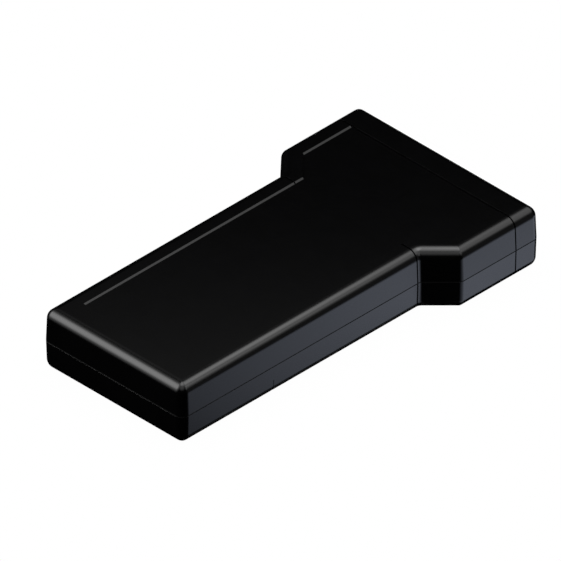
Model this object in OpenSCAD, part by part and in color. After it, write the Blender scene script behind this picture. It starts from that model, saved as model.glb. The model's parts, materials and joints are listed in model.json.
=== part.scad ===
// Handheld logic analyzer: a T-shaped two-shell case with a sliding battery door, a circuit board,
// a battery pack in the grip, and connectors and controls in the end panel of the head.
// Frame: +X across the case, +Y from the grip's end to the head's end, +Z up.
// The origin is the centre of the underside. Every size is in millimetres.

/* [Case] */
// Length of the case
case_l = 186; // [184:1:190]
// Width of the head
head_w = 100; // [98:1:106]
// Width of the grip
grip_w = 77.2; // [76:0.2:80]
// Height of the case
case_h = 28; // [27.5:0.5:30]
// Height of the parting line above the underside
parting_z = 13.4; // [13:0.1:14]
// Distance from the grip's end to the start of the 45 degree step
neck_from_front = 131.2; // [130:0.1:132]
// Radius of the long edges between the sides and the flat faces
edge_r = 4.6; // [4:0.1:5]
// Radius of the upright corners at both ends
corner_r = 4.1; // [4:0.1:6]
// Mould draft of the side walls, in degrees
draft = 2; // [1:0.1:2.5]
// Wall thickness at the parting line
wall = 2.4; // [2.2:0.1:2.6]

/* [Top recess] */
// Depth of the recess in the top face
recess_depth = 0.6; // [0.4:0.05:1.2]
// Width of the rim beside the recess
recess_side = 9.2; // [7:0.1:10]
// Distance from the grip's end to the recess
recess_front = 13.8; // [10:0.1:20]
// Distance from the grip's end to the recess's own 45 degree step
recess_neck = 134.4; // [132:0.1:138]
// Distance from the grip's end to the recess's rear edge
recess_rear = 172.2; // [168:0.1:174]

/* [Grooves] */
// Distance from the grip's end to the front groove round both shells
front_seam = 129.7; // [110:0.1:131]
// Distance from the grip's end to the rear groove round both shells
rear_seam = 172.3; // [170:0.1:175]
// Width of a groove
seam_w = 0.6; // [0.4:0.1:0.8]
// Depth of a groove
seam_depth = 0.5; // [0.3:0.1:0.6]

/* [Battery door] */
// Length of the door along the underside
door_l = 50.5; // [50:0.1:51]
// Travel of the door before its hooks clear the case
door_travel = 8; // [7:0.5:8]

/* [Battery cells] */
// Diameter of a cell
cell_d = 14.3; // [13.9:0.1:14.4]
// Length of a cell with its positive nub
cell_l = 50; // [49.2:0.1:50.4]
// Distance between neighbouring cells
cell_pitch = 14.8; // [14.7:0.05:14.85]

/* [Circuit board] */
// Height of the board's underside above the case's underside
board_z = 6.9; // [6.5:0.1:7]
// Thickness of the board
board_t = 1.6; // [1.5:0.1:1.7]

/* [Connectors and controls] */
// Centre of the probe connector across the case
probe_x = 3.5; // [3:0.1:3.6]
// Pins in each of the probe connector's two rows
probe_columns = 13; // [10:1:13]
// Centre of the socket to the computer across the case
usb_x = 31.5; // [31.3:0.1:32]
// Centre of the power switch across the case
switch_x = -23.2; // [-23.4:0.1:-23]
// Travel of the power switch's lever
switch_travel = 2.5; // [1.5:0.1:2.5]
// Centre of the status lamp across the case
led_x = -30; // [-30.1:0.1:-29.9]
// Centre of the trigger button across the case
button_x = -35.5; // [-35.6:0.1:-35.4]

/* [Hidden] */
$fn = 48;

front_y = -case_l / 2;
back_y = case_l / 2;
neck_y = front_y + neck_from_front;
grip_half = grip_w / 2;
head_half = head_w / 2;
step = head_half - grip_half;
neck_shift = tan(22.5);      // how far an inset moves the step's corners along Y, per mm of inset

corner_steps = 6;
step_steps = 3;
edge_steps = 6;
least_r = 0.25;
neck_inner_r = 1.5;
neck_outer_r = 3;

ceiling_t = 3;
floor_t = 2.4;
inner_r = edge_r - wall;
lip_inset = 1.3;
lip_h = 1;
lip_gap = 0.1;
parting_bevel = 0.25;
recess_r = 0.5;
post_r = 3.2;                // case screw posts in the top cover
post_bore_r = 1.25;
column_r = 3.9;              // case screw columns in the bottom cover
counterbore_r = 3.1;
clearance_r = 1.65;
standoff_r = 2.6;            // columns under the board and under the tray's ears
stop_x = 42.2;               // centres of the end panel's stops
stop_w = 3.2;
stop_l = 1.8;

door_t = 1.95;
door_gap = 0.05;
door_rear_gap = 0.2;
door_end_y = front_y + door_l;
door_seat_z = door_t + door_gap;
door_cut_y = door_end_y + door_rear_gap;
nail_relief = 3;             // length of the sloped relief behind the door
slit_top_z = 7;              // height of the fine line above the relief
slit_w = 0.3;
rim_z = 4;                   // top of the frame round the battery opening
hook_len = 6;
hook_x = 29.9;
hook_stem = 1.2;
hook_flange = 1.5;
hook_from_front = [14, 34];
hook_clear = 0.1;
grip_ribs = 5;               // grooves of the door's thumb grip
grip_rib_w = 26;
grip_rib_pitch = 2.4;

bay_half = 27.6;
bay_front = 3.8;
bay_rear = 48.5;
cell_z = 9.85;
first_cell = 11.35;
tray_top_z = 19;
tray_roof_t = 1.5;
tray_wall = 1.4;
tray_front_wall = 0.9;
tray_z = rim_z + 0.05;
tray_ear_x = 16;
tray_ear_y = front_y + 53;
tray_ear_z = 8;

column_top_z = 9;
case_screw_head_z = 2.6;
case_screws_at = [
  [-30, front_y + 56.6], [30, front_y + 56.6],
  [-head_half + 8.5, front_y + 160], [head_half - 8.5, front_y + 160]
];

board_top = board_z + board_t;
board_front_y = front_y + 61.5;
board_back_y = front_y + 181;
board_grip_half = 29;
board_head_half = 39.8;
board_screws_at = [
  [-24, front_y + 66.5], [24, front_y + 66.5], [-34, front_y + 147], [34, front_y + 147]
];

panel_y = back_y - 4.4;      // inner face of the end panel
panel_t = 1.6;
panel_half = 42.4;
panel_low = 4.7;
panel_high = 22.3;
window_half = 40;
window_low = 6;
window_high = 21;
fit = 0.2;                   // gap round a connector in the end panel

socket_y = front_y + 66;     // battery socket on the board
lead_r = 0.7;
lead_z = tray_top_z + 0.9;
lead_bend = 3;
plug_pitch = 2.5;
plug_top = 8;                // height of the plug above the board

pin_pitch = 2.54;
pin_s = 0.64;
probe_w = pin_pitch * (probe_columns - 1) + 10.16;
probe_h = 9.1;
probe_d = 9.2;
probe_wall = 1.5;
probe_y = back_y - 10.5;     // rear of the shroud, inside the case
pin_rows_z = [board_top + 3.2, board_top + 3.2 + pin_pitch];
pin_legs_y = [probe_y - 1.3, probe_y - 1.3 - pin_pitch];

usb_w = 12;
usb_h = 10.9;
usb_d = 16.3;
usb_y = back_y - 17.1;
usb_skin = 0.4;
tongue_z = board_top + usb_h / 2;

switch_z = board_top + 2.3;
switch_y = back_y - 9.6;
button_z = board_top + 3.5;
button_r = 2.8;
button_hole_r = button_r + 0.08;
button_flange_r = 3.3;
plunger_r = 1.72;
led_z = board_top + 3;
led_r = 1.5;
slider_half = 2;             // half length of the lever's slide inside the switch
lever_half = 1;
lever_slot_half = 2.5;

// ---- outline of the case -------------------------------------------------------------------

// Points of a round bend at corner p. a is the direction on the way in, turn is signed (+ is left).
function bend(p, a, turn, r, n) =
  let (s = sign(turn), t = r * tan(abs(turn) / 2))
  let (c = p - t * [cos(a), sin(a)] + s * r * [-sin(a), cos(a)])
  [for (i = [0:n]) c + r * [cos(a - 90 * s + turn * i / n), sin(a - 90 * s + turn * i / n)]];

function both_halves(h) = concat(h, [for (i = [len(h) - 1:-1:0]) [-h[i].x, h[i].y]]);

// Right half of the T outline, moved inwards by d
function case_half(d) = concat(
  bend([grip_half - d, front_y + d], 0, 90, max(corner_r - d, least_r), corner_steps),
  bend([grip_half - d, neck_y + d * neck_shift], 90, -45, neck_inner_r + d, step_steps),
  bend([head_half - d, neck_y + step + d * neck_shift], 45, 45,
       max(neck_outer_r - d, least_r), step_steps),
  bend([head_half - d, back_y - d], 90, 90, max(corner_r - d, least_r), corner_steps)
);

// Right half of the door's outline: round at the grip's end, square at the other
function door_half(d) = concat(
  bend([grip_half - d, front_y + d], 0, 90, max(corner_r - d, least_r), corner_steps),
  [[grip_half - d, door_end_y]]
);

// Side wall of one half-shell as [inset, distance from its flat face]: the edge's arc, from the
// drafted wall to the flat. w and t offset the inner side, h is the half-shell's height.
function edge_arc(w, t, r, h, from = draft) =
  let (c = w + (h - t - r) * tan(draft) + r / cos(draft))
  [for (i = [0:edge_steps]) let (f = from + (90 - from) * i / edge_steps)
    [c - r * cos(f), t + r - r * sin(f)]];

function reversed(l) = [for (i = [len(l) - 1:-1:0]) l[i]];
function from_top(l) = [for (p = l) [p[0], case_h - p[1]]];

// Solid through closed rings of equal length. Each ring's second half mirrors its first.
module loft(rings) {
  n = len(rings[0]);
  m = n / 2;
  last = len(rings) - 1;
  sides = [for (i = [0:last - 1]) for (j = [0:n - 1])
    [i * n + j, (i + 1) * n + j, (i + 1) * n + (j + 1) % n, i * n + (j + 1) % n]];
  first_cap = [for (j = [0:m - 2]) [j, j + 1, n - 2 - j, n - 1 - j]];
  last_cap = [for (f = first_cap) [for (i = [3:-1:0]) last * n + f[i]]];
  polyhedron([for (r = rings) for (p = r) p], concat(sides, first_cap, last_cap));
}

function case_rings(profile) =
  [for (p = profile) [for (q = both_halves(case_half(p[0]))) [q.x, q.y, p[1]]]];

// Section across the case in the XZ plane, moved inwards by d
function section_half(half, d) =
  let (low = reversed(edge_arc(d, d, edge_r - d, parting_z)))
  let (high = from_top(edge_arc(d, d, edge_r - d, case_h - parting_z)))
  [for (p = concat(low, high)) [half - p[0], p[1]]];

// Slab with the case's section taken out of it, to cut a groove of constant depth
module groove_cutter(half, y, w, depth) {
  translate([0, y + w / 2, 0])
    rotate([90, 0, 0])
      linear_extrude(w)
        difference() {
          translate([-half - 5, -5]) square([2 * half + 10, case_h + 10]);
          polygon(both_halves(section_half(half, depth)));
        }
}

module seams() {
  groove_cutter(grip_half, front_y + front_seam, seam_w, seam_depth);
  groove_cutter(head_half, front_y + rear_seam, seam_w, seam_depth);
}

module end_window() {
  translate([-window_half, back_y - 6, window_low])
    cube([2 * window_half, 10, window_high - window_low]);
}

// Box from its low corner to its high corner
module span(low, high) {
  translate(low) cube(high - low);
}

// ---- shells --------------------------------------------------------------------------------

module recess_cutter() {
  half = both_halves(concat(
    bend([grip_half - recess_side, front_y + recess_front], 0, 90, recess_r, 2),
    bend([grip_half - recess_side, front_y + recess_neck], 90, -45, recess_r, 2),
    bend([head_half - recess_side, front_y + recess_neck + step], 45, 45, recess_r, 2),
    bend([head_half - recess_side, front_y + recess_rear], 90, 90, recess_r, 2)
  ));
  translate([0, 0, case_h - recess_depth]) linear_extrude(5) polygon(half);
}

module top_shell() {
  h = case_h - parting_z;
  loft(case_rings(concat(
    reversed(from_top(edge_arc(wall, ceiling_t, inner_r, h))),
    [[wall, parting_z + lip_h + lip_gap],
     [lip_inset - lip_gap, parting_z + lip_h + lip_gap],
     [lip_inset - lip_gap, parting_z],
     [parting_bevel, parting_z],
     [0, parting_z + parting_bevel]],
    from_top(edge_arc(0, 0, edge_r, h))
  )));
}

// Posts that stop the end panel from moving into the case
module panel_stops(low, high) {
  for (s = [-1, 1])
    translate([s * stop_x - stop_w / 2, panel_y - stop_l - 0.1, low])
      cube([stop_w, stop_l, high - low]);
}

module top_cover() {
  color([0.06, 0.06, 0.065])
  difference() {
    union() {
      top_shell();
      for (p = case_screws_at)
        translate([p.x, p.y, column_top_z + 0.1])
          cylinder(r = post_r, h = case_h - ceiling_t - column_top_z + 0.5);
      panel_stops(parting_z + 0.2, case_h - ceiling_t + 0.5);
    }
    for (p = case_screws_at)
      translate([p.x, p.y, column_top_z - 1]) cylinder(r = post_bore_r, h = 13);
    recess_cutter();
    end_window();
    seams();
  }
}

module bottom_shell() {
  loft(case_rings(concat(
    reversed(edge_arc(0, 0, edge_r, parting_z)),
    [[0, parting_z - parting_bevel],
     [parting_bevel, parting_z],
     [lip_inset, parting_z],
     [lip_inset, parting_z + lip_h],
     [wall, parting_z + lip_h]],
    edge_arc(wall, floor_t, inner_r, parting_z)
  )));
}

// Everything that the door and its nail relief take from the bottom shell
module door_cutter() {
  span([-grip_half - 5, front_y - 5, -5], [grip_half + 5, door_cut_y, door_seat_z]);
  translate([-grip_half - 5, door_cut_y, 0])
    rotate([90, 0, 90])
      linear_extrude(grip_w + 10)
        polygon([[-1, -1], [-1, door_seat_z], [0, door_seat_z], [nail_relief, 0], [nail_relief, -1]]);
  intersection() {
    groove_cutter(grip_half, door_cut_y, slit_w, 0.35);
    span([-grip_half - 5, door_cut_y - 1, door_seat_z - 0.5], [grip_half + 5, door_cut_y + 1, slit_top_z]);
  }
}

// Slots in the battery opening's frame, one pair for each pair of hooks on the door
module hook_slots() {
  for (s = [-1, 1])
    for (d = hook_from_front)
      scale([s, 1, 1]) {
        span([hook_x - hook_clear, front_y + d - door_travel - fit, 1],
             [hook_x + hook_stem + hook_clear, front_y + d + hook_len + fit, rim_z + 1]);
        span([hook_x - hook_clear, front_y + d - door_travel - fit, 1],
             [hook_x + hook_stem + hook_flange + 2 * hook_clear,
              front_y + d - door_travel + hook_len + fit, rim_z + 1]);
      }
}

module bottom_cover() {
  color([0.07, 0.07, 0.075])
  difference() {
    union() {
      bottom_shell();
      span([-grip_half + 2.8, front_y + 2.4, 1], [grip_half - 2.8, front_y + 55, rim_z]);
      for (p = case_screws_at)
        translate([p.x, p.y, 1]) cylinder(r = column_r, h = column_top_z - 1);
      for (p = board_screws_at)
        translate([p.x, p.y, 1]) cylinder(r = standoff_r, h = board_z - 1);
      for (s = [-1, 1])
        translate([s * tray_ear_x, tray_ear_y, rim_z - 1])
          cylinder(r = standoff_r, h = tray_ear_z - rim_z + 1);
      panel_stops(1, parting_z - 0.2);
    }
    for (p = case_screws_at)
      translate([p.x, p.y, -1]) {
        cylinder(r = counterbore_r, h = 1 + case_screw_head_z);
        cylinder(r = clearance_r, h = column_top_z + 2);
      }
    for (p = board_screws_at)
      translate([p.x, p.y, floor_t]) cylinder(r = 1, h = board_z);
    for (s = [-1, 1])
      translate([s * tray_ear_x, tray_ear_y, 3]) cylinder(r = 0.9, h = tray_ear_z);
    span([-bay_half, front_y + bay_front, 1], [bay_half, front_y + bay_rear, rim_z + 1]);
    door_cutter();
    hook_slots();
    end_window();
    seams();
  }
}

module battery_door() {
  tangent = asin((edge_r - door_t) / edge_r);
  profile = reversed(edge_arc(0, 0, edge_r, parting_z, tangent));
  rings = [for (p = profile) [for (q = both_halves(door_half(p[0]))) [q.x, q.y, p[1]]]];
  color([0.08, 0.08, 0.085]) {
    difference() {
      loft(rings);
      // Thumb grip near the rear edge
      for (i = [0:grip_ribs - 1])
        translate([-grip_rib_w / 2, door_end_y - 14 + i * grip_rib_pitch, -1])
          cube([grip_rib_w, grip_rib_pitch / 2, 1.5]);
    }
    for (s = [-1, 1])
      for (d = hook_from_front)
        scale([s, 1, 1]) {
          span([hook_x, front_y + d, door_t - 0.5],
               [hook_x + hook_stem, front_y + d + hook_len, rim_z + 1.1]);
          span([hook_x, front_y + d, rim_z + 0.1],
               [hook_x + hook_stem + hook_flange, front_y + d + hook_len, rim_z + 1.1]);
        }
  }
}

module end_panel() {
  color([0.1, 0.1, 0.105])
  difference() {
    span([-panel_half, panel_y, panel_low], [panel_half, panel_y + panel_t, panel_high]);
    span([probe_x - probe_w / 2 - fit, panel_y - 1, board_top - fit],
         [probe_x + probe_w / 2 + fit, panel_y + 3, board_top + probe_h + fit]);
    span([usb_x - usb_w / 2 - fit, panel_y - 1, board_top - fit],
         [usb_x + usb_w / 2 + fit, panel_y + 3, board_top + usb_h + fit]);
    span([switch_x - lever_slot_half - 0.1, panel_y - 1, switch_z - 1.2],
         [switch_x + lever_slot_half + 0.1, panel_y + 3, switch_z + 1.2]);
    translate([button_x, panel_y - 1, button_z]) rotate([-90, 0, 0]) cylinder(r = button_hole_r, h = 4);
    translate([led_x, panel_y - 1, led_z]) rotate([-90, 0, 0]) cylinder(r = led_r + 0.1, h = 4);
  }
}

// Screw with its head's top at the origin, pointing along +Z
module screw(head_r, head_h, shank_r, shank_l, drive_r) {
  difference() {
    union() {
      cylinder(r = head_r, h = head_h);
      cylinder(r = shank_r, h = head_h + shank_l);
    }
    for (a = [0, 90])
      rotate([0, 0, a]) translate([-drive_r, -0.3, -1]) cube([2 * drive_r, 0.6, 1.8]);
  }
}

module case_screws() {
  color("silver")
  for (p = case_screws_at)
    translate([p.x, p.y, 0.7]) screw(2.75, case_screw_head_z - 0.7, 1.2, 14, 1.6);
}

// ---- battery pack --------------------------------------------------------------------------

function cell_y(i) = front_y + first_cell + i * cell_pitch;

module battery_tray() {
  color([0.15, 0.15, 0.16])
  difference() {
    union() {
      span([-bay_half - tray_wall, front_y + bay_front - tray_front_wall, tray_z],
           [bay_half + tray_wall, front_y + bay_rear + tray_wall, tray_top_z]);
      for (s = [-1, 1])
        translate([s * tray_ear_x - 3.5, front_y + bay_rear + 1, tray_ear_z]) cube([7, 7, 2]);
    }
    span([-bay_half, front_y + bay_front, tray_z - 1],
         [bay_half, front_y + bay_rear, tray_top_z - tray_roof_t]);
    for (s = [-1, 1])
      translate([s * tray_ear_x, tray_ear_y, tray_ear_z - 1]) cylinder(r = 1.2, h = 4);
    // Slots for the two solder tabs
    for (t = [[1, 0], [-1, 2]])
      translate([t[0] * (bay_half - 0.2) - 0.3, cell_y(t[1]) - 1.6, tray_top_z - 3]) cube([0.6, 3.2, 4]);
  }
}

// A cell lies along X. Its positive end points along s.
module cell(s) {
  nub_h = 1.2;
  body = cell_l - nub_h;
  rotate([0, s * 90, 0])
    translate([0, 0, bay_half - 0.4 - cell_l])
      rotate_extrude()
        polygon([
          [0, 0], [cell_d / 2 - 0.8, 0], [cell_d / 2, 0.8], [cell_d / 2, body - 0.8],
          [cell_d / 2 - 0.8, body], [2.75, body], [2.75, cell_l - 0.3], [2.45, cell_l], [0, cell_l]
        ]);
}

function cell_way(i) = i == 1 ? -1 : 1;

module battery_cells() {
  color([0.72, 0.52, 0.24])
  for (i = [0:2])
    translate([0, cell_y(i), cell_z]) cell(cell_way(i));
}

// Envelope of a conical contact spring, between the tray's wall and a cell's negative end
module battery_springs() {
  length = 2 * bay_half - 0.8 - cell_l;
  color("silver")
  for (i = [0:2])
    translate([-cell_way(i) * (bay_half - 0.35), cell_y(i), cell_z])
      rotate([0, cell_way(i) * 90, 0])
        rotate_extrude()
          polygon([[3.1, 0], [3.7, 0], [2.4, length], [1.8, length]]);
}

module contact_plate(s, y, width, tab) {
  x = s * (bay_half - 0.2);
  translate([x - 0.14, y - width / 2, cell_z - 4.5]) cube([0.28, width, 9]);
  if (tab)
    translate([x - 0.14, y - 1.5, cell_z - 4.5]) cube([0.28, 3, tray_top_z + 1.8 - cell_z + 4.5]);
}

module battery_contacts() {
  link_y = cell_pitch / 2;
  color("silver") {
    contact_plate(1, cell_y(0), 9, true);
    contact_plate(1, cell_y(1) + link_y, 9 + cell_pitch, false);
    contact_plate(-1, cell_y(2), 9, true);
    contact_plate(-1, cell_y(0) + link_y, 9 + cell_pitch, false);
  }
}

module tray_screws() {
  color("silver")
  for (s = [-1, 1])
    translate([s * tray_ear_x, tray_ear_y, tray_ear_z + 3.4])
      mirror([0, 0, 1]) screw(2, 1.4, 0.85, 6.5, 1.2);
}

// One lead over the tray: along Y, across to the socket, along Y again and down into the plug.
// s is the side that it comes from.
module lead(s, start_y, cross_y, plug_x) {
  run_x = bay_half - 1.2;
  end_y = socket_y - lead_bend;
  scale([s, 1, 1]) translate([0, 0, lead_z]) {
    translate([run_x, start_y, 0]) rotate([-90, 0, 0])
      cylinder(r = lead_r, h = cross_y - lead_bend - start_y);
    translate([run_x - lead_bend, cross_y - lead_bend, 0])
      rotate_extrude(angle = 90) translate([lead_bend, 0]) circle(r = lead_r);
    translate([plug_x + lead_bend, cross_y, 0]) rotate([0, 90, 0])
      cylinder(r = lead_r, h = run_x - plug_x - 2 * lead_bend);
    translate([plug_x + lead_bend, cross_y + lead_bend, 0]) rotate([0, 0, 180])
      rotate_extrude(angle = 90) translate([lead_bend, 0]) circle(r = lead_r);
    translate([plug_x, cross_y + lead_bend, 0]) rotate([-90, 0, 0])
      cylinder(r = lead_r, h = end_y - cross_y - lead_bend);
    translate([plug_x, end_y, -lead_bend]) rotate([90, 0, 90])
      rotate_extrude(angle = 90) translate([lead_bend, 0]) circle(r = lead_r);
    translate([plug_x, socket_y, board_top + plug_top - lead_z])
      cylinder(r = lead_r, h = lead_z - lead_bend - board_top - plug_top);
  }
}

module positive_lead() {
  color("firebrick") lead(1, cell_y(0) + 1.8, front_y + 50, plug_pitch / 2);
}

module negative_lead() {
  color([0.1, 0.1, 0.1]) lead(-1, cell_y(2) + 1.8, front_y + 54, plug_pitch / 2);
}

module battery_plug() {
  color("ivory")
  span([-2.8, socket_y - 2, board_top + 1.2], [2.8, socket_y + 2, board_top + plug_top]);
}

module battery_socket() {
  color("ivory")
  difference() {
    span([-3.7, socket_y - 2.9, board_top], [3.7, socket_y + 2.9, board_top + 7]);
    span([-2.9, socket_y - 2.1, board_top + 1.1], [2.9, socket_y + 2.1, board_top + 9]);
  }
}

// ---- circuit board -------------------------------------------------------------------------

module main_board() {
  board_step = board_head_half - board_grip_half;
  board_neck_y = neck_y + 5;
  color([0.05, 0.3, 0.15])
  difference() {
    translate([0, 0, board_z])
      linear_extrude(board_t)
        polygon(both_halves([
          [board_grip_half, board_front_y], [board_grip_half, board_neck_y],
          [board_head_half, board_neck_y + board_step], [board_head_half, board_back_y]
        ]));
    for (p = case_screws_at)
      translate([p.x, p.y, board_z - 1]) cylinder(r = 4.3, h = 4);
    for (p = board_screws_at)
      translate([p.x, p.y, board_z - 1]) cylinder(r = 1.3, h = 4);
    for (i = [0:probe_columns - 1])
      for (y = pin_legs_y)
        translate([pin_x(i), y, board_z - 1]) cylinder(r = 0.5, h = 4, $fn = 24);
  }
}

module board_screws() {
  color("silver")
  for (p = board_screws_at)
    translate([p.x, p.y, board_top + 1.6]) mirror([0, 0, 1]) screw(2.3, 1.6, 0.95, 5.8, 1.3);
}

// Chip body on the board, with a thin skirt where its leads lie. place is [x, distance from the
// grip's end], size is [x, y, height] and skirt is how far the leads reach in x and in y.
module chip(place, size, skirt) {
  translate([place.x, front_y + place.y, board_top]) {
    translate([-size.x / 2, -size.y / 2, 0.1]) cube([size.x, size.y, size.z - 0.1]);
    translate([-size.x / 2 - skirt.x, -size.y / 2 - skirt.y, 0])
      cube([size.x + 2 * skirt.x, size.y + 2 * skirt.y, 0.2]);
  }
}

module capture_chip() {
  color([0.1, 0.1, 0.1]) chip([0, 116], [20, 20, 1.5], [1, 1]);
}

module memory_chips() {
  color([0.1, 0.1, 0.1])
  for (s = [-1, 1]) chip([s * 20.5, 116], [10.2, 22.2, 1.1], [0.8, 0]);
}

module usb_chip() {
  color([0.1, 0.1, 0.1]) chip([22, 155], [10, 10, 1.4], [1, 1]);
}

module firmware_memory() {
  color([0.1, 0.1, 0.1]) chip([22, 138], [3.9, 4.9, 1.6], [1, 0]);
}

module input_buffers() {
  color([0.1, 0.1, 0.1])
  for (i = [0:3]) chip([-24 + i * 11, 153], [5.3, 7.2, 1.7], [1.2, 0]);
}

module resistor_networks() {
  color([0.12, 0.12, 0.13])
  for (i = [0:5]) chip([-14.5 + i * 6, 163.5], [3.2, 1.6, 0.6], [0, 0.2]);
}

module voltage_regulator() {
  color([0.1, 0.1, 0.1]) chip([-17, 84], [6.5, 3.5, 1.7], [0, 1.7]);
}

module power_inductor() {
  color([0.2, 0.2, 0.2])
  translate([-3, front_y + 84, board_top]) {
    cylinder(r = 4.8, h = 4);
    translate([-5, -2.2, 0]) cube([10, 4.4, 0.5]);
  }
}

smoothing_at = [[12, 77], [12, 87], [-17, 74]];

module smoothing_capacitors() {
  color("silver")
  for (p = smoothing_at)
    translate([p.x, front_y + p.y, board_top]) {
      translate([-3.3, -3.3, 0]) cube([6.6, 6.6, 0.8]);
      cylinder(r = 3.15, h = 5.8);
    }
}

module ceramic_capacitors() {
  color("tan")
  for (s = [-1, 1])
    for (i = [0:6])
      translate([-10 + i * 3.3, front_y + 116 + s * 13, board_top])
        translate([-0.4, -0.8, 0]) cube([0.8, 1.6, 0.8]);
}

module protection_diode() {
  color([0.1, 0.1, 0.1]) chip([-6, 74], [4.4, 3.6, 2.2], [0.5, 0]);
}

module clock_crystal() {
  color("silver")
  translate([-18, front_y + 98, board_top]) {
    for (x = [-3.3, 3.3]) translate([x, 0, 0]) cylinder(r = 2.2, h = 3.6);
    translate([-3.3, -2.2, 0]) cube([6.6, 4.4, 3.6]);
  }
}

// ---- connectors ----------------------------------------------------------------------------

function pin_x(i) = probe_x + (i - (probe_columns - 1) / 2) * pin_pitch;

module probe_connector() {
  color([0.12, 0.12, 0.12])
  difference() {
    span([probe_x - probe_w / 2, probe_y, board_top],
         [probe_x + probe_w / 2, probe_y + probe_d, board_top + probe_h]);
    span([probe_x - probe_w / 2 + probe_wall, probe_y + 2.2, board_top + probe_wall],
         [probe_x + probe_w / 2 - probe_wall, probe_y + probe_d + 1, board_top + probe_h - probe_wall]);
    // Polarising slot
    span([probe_x - 2.25, probe_y + 3, board_top + 4],
         [probe_x + 2.25, probe_y + probe_d + 1, board_top + probe_h + 1]);
    for (i = [0:probe_columns - 1])
      for (z = pin_rows_z)
        translate([pin_x(i) - 0.35, probe_y - 1, z - 0.35]) cube([0.7, 5, 0.7]);
  }
}

module probe_pins() {
  color("gold")
  for (i = [0:probe_columns - 1])
    for (row = [0, 1])
      translate([pin_x(i) - pin_s / 2, 0, 0]) {
        span([0, pin_legs_y[row] - pin_s / 2, pin_rows_z[row] - pin_s / 2],
             [pin_s, probe_y + probe_d - 2, pin_rows_z[row] + pin_s / 2]);
        span([0, pin_legs_y[row] - pin_s / 2, board_z - 1.2],
             [pin_s, pin_legs_y[row] + pin_s / 2, pin_rows_z[row]]);
      }
}

module usb_shell() {
  color("silver")
  difference() {
    span([usb_x - usb_w / 2, usb_y, board_top], [usb_x + usb_w / 2, usb_y + usb_d, board_top + usb_h]);
    span([usb_x - usb_w / 2 + usb_skin, usb_y + usb_skin, board_top + usb_skin],
         [usb_x + usb_w / 2 - usb_skin, usb_y + usb_d + 1, board_top + usb_h - usb_skin]);
  }
}

module usb_insert() {
  skin = usb_skin + 0.05;
  color("white") {
    span([usb_x - usb_w / 2 + skin, usb_y + skin, board_top + skin],
         [usb_x + usb_w / 2 - skin, usb_y + 5, board_top + usb_h - skin]);
    span([usb_x - 2.8, usb_y + 4, tongue_z - 1.6], [usb_x + 2.8, usb_y + usb_d - 2.5, tongue_z + 1.6]);
  }
}

module usb_contacts() {
  color("gold")
  for (s = [-1, 1])
    for (x = [-1.25, 1.25])
      translate([usb_x + x - 0.5, usb_y + 5.1, tongue_z + s * 1.75 - 0.15]) cube([1, 7.5, 0.3]);
}

// ---- controls ------------------------------------------------------------------------------

module power_switch_body() {
  color([0.15, 0.1, 0.08])
  difference() {
    span([switch_x - 4.3, switch_y, board_top], [switch_x + 4.3, switch_y + 3.8, board_top + 4.6]);
    span([switch_x - 3.6, switch_y + 1, switch_z - 1.4], [switch_x + 3.6, switch_y + 5, switch_z + 1.4]);
  }
}

module power_switch_frame() {
  color("silver")
  difference() {
    span([switch_x - 4.65, switch_y, board_top + 0.2], [switch_x + 4.65, switch_y + 4.15, board_top + 4.95]);
    span([switch_x - 4.35, switch_y - 1, board_top - 1], [switch_x + 4.35, switch_y + 3.85, board_top + 4.65]);
    span([switch_x - lever_slot_half, switch_y + 3, switch_z - 1.1],
         [switch_x + lever_slot_half, switch_y + 5, switch_z + 1.1]);
  }
}

// The lever is drawn in its off position
module power_switch_slider() {
  color([0.2, 0.2, 0.2])
  translate([switch_x - switch_travel / 2, switch_y, switch_z]) {
    span([-slider_half, 1.1, -1.3], [slider_half, 3.6, 1.3]);
    span([-lever_half, 3, -0.95], [lever_half, 8.8, 0.95]);
  }
}

module trigger_switch() {
  color([0.12, 0.12, 0.12])
  difference() {
    span([button_x - 3, switch_y - 0.2, board_top], [button_x + 3, switch_y + 3.4, board_top + 6.4]);
    translate([button_x, switch_y + 1.4, button_z]) rotate([-90, 0, 0])
      cylinder(r = plunger_r + 0.08, h = 4);
  }
}

module trigger_button() {
  color([0.6, 0.1, 0.08])
  translate([button_x, switch_y, button_z])
    rotate([-90, 0, 0]) {
      translate([0, 0, 2]) cylinder(r = plunger_r, h = 3);
      translate([0, 0, 4.1]) cylinder(r = button_flange_r, h = 1);
      translate([0, 0, 4.5]) cylinder(r = button_r, h = 4);
      translate([0, 0, 8.5]) cylinder(r1 = button_r, r2 = button_r - 0.4, h = 0.4);
    }
}

module led_holder() {
  color([0.12, 0.12, 0.12])
  span([led_x - 2, switch_y, board_top], [led_x + 2, switch_y + 4.4, board_top + 5.4]);
}

module status_led() {
  dome = 5;
  color("limegreen")
  translate([led_x, switch_y + 4.4, led_z])
    rotate([-90, 0, 0])
      rotate_extrude()
        polygon(concat([[0, 0], [led_r, 0]],
          [for (i = [0:dome]) [led_r * cos(i * 90 / dome), 3 + led_r * sin(i * 90 / dome)]]));
}

top_cover();
bottom_cover();
battery_door();
end_panel();
case_screws();
battery_tray();
battery_cells();
battery_springs();
battery_contacts();
tray_screws();
positive_lead();
negative_lead();
battery_plug();
battery_socket();
main_board();
board_screws();
capture_chip();
memory_chips();
usb_chip();
firmware_memory();
input_buffers();
resistor_networks();
voltage_regulator();
power_inductor();
smoothing_capacitors();
ceramic_capacitors();
protection_diode();
clock_crystal();
probe_connector();
probe_pins();
usb_shell();
usb_insert();
usb_contacts();
power_switch_body();
power_switch_frame();
power_switch_slider();
trigger_switch();
trigger_button();
led_holder();
status_led();
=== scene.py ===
# Looks for a T-shaped handheld logic analyzer: moulded shells, end panel with its connectors and
# controls, circuit board and battery pack. Shapes are built in millimetres in the CAD frame
# (+X across, +Y towards the connectors, +Z up) and scaled to metres when a piece is made.
import json
import math

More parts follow.
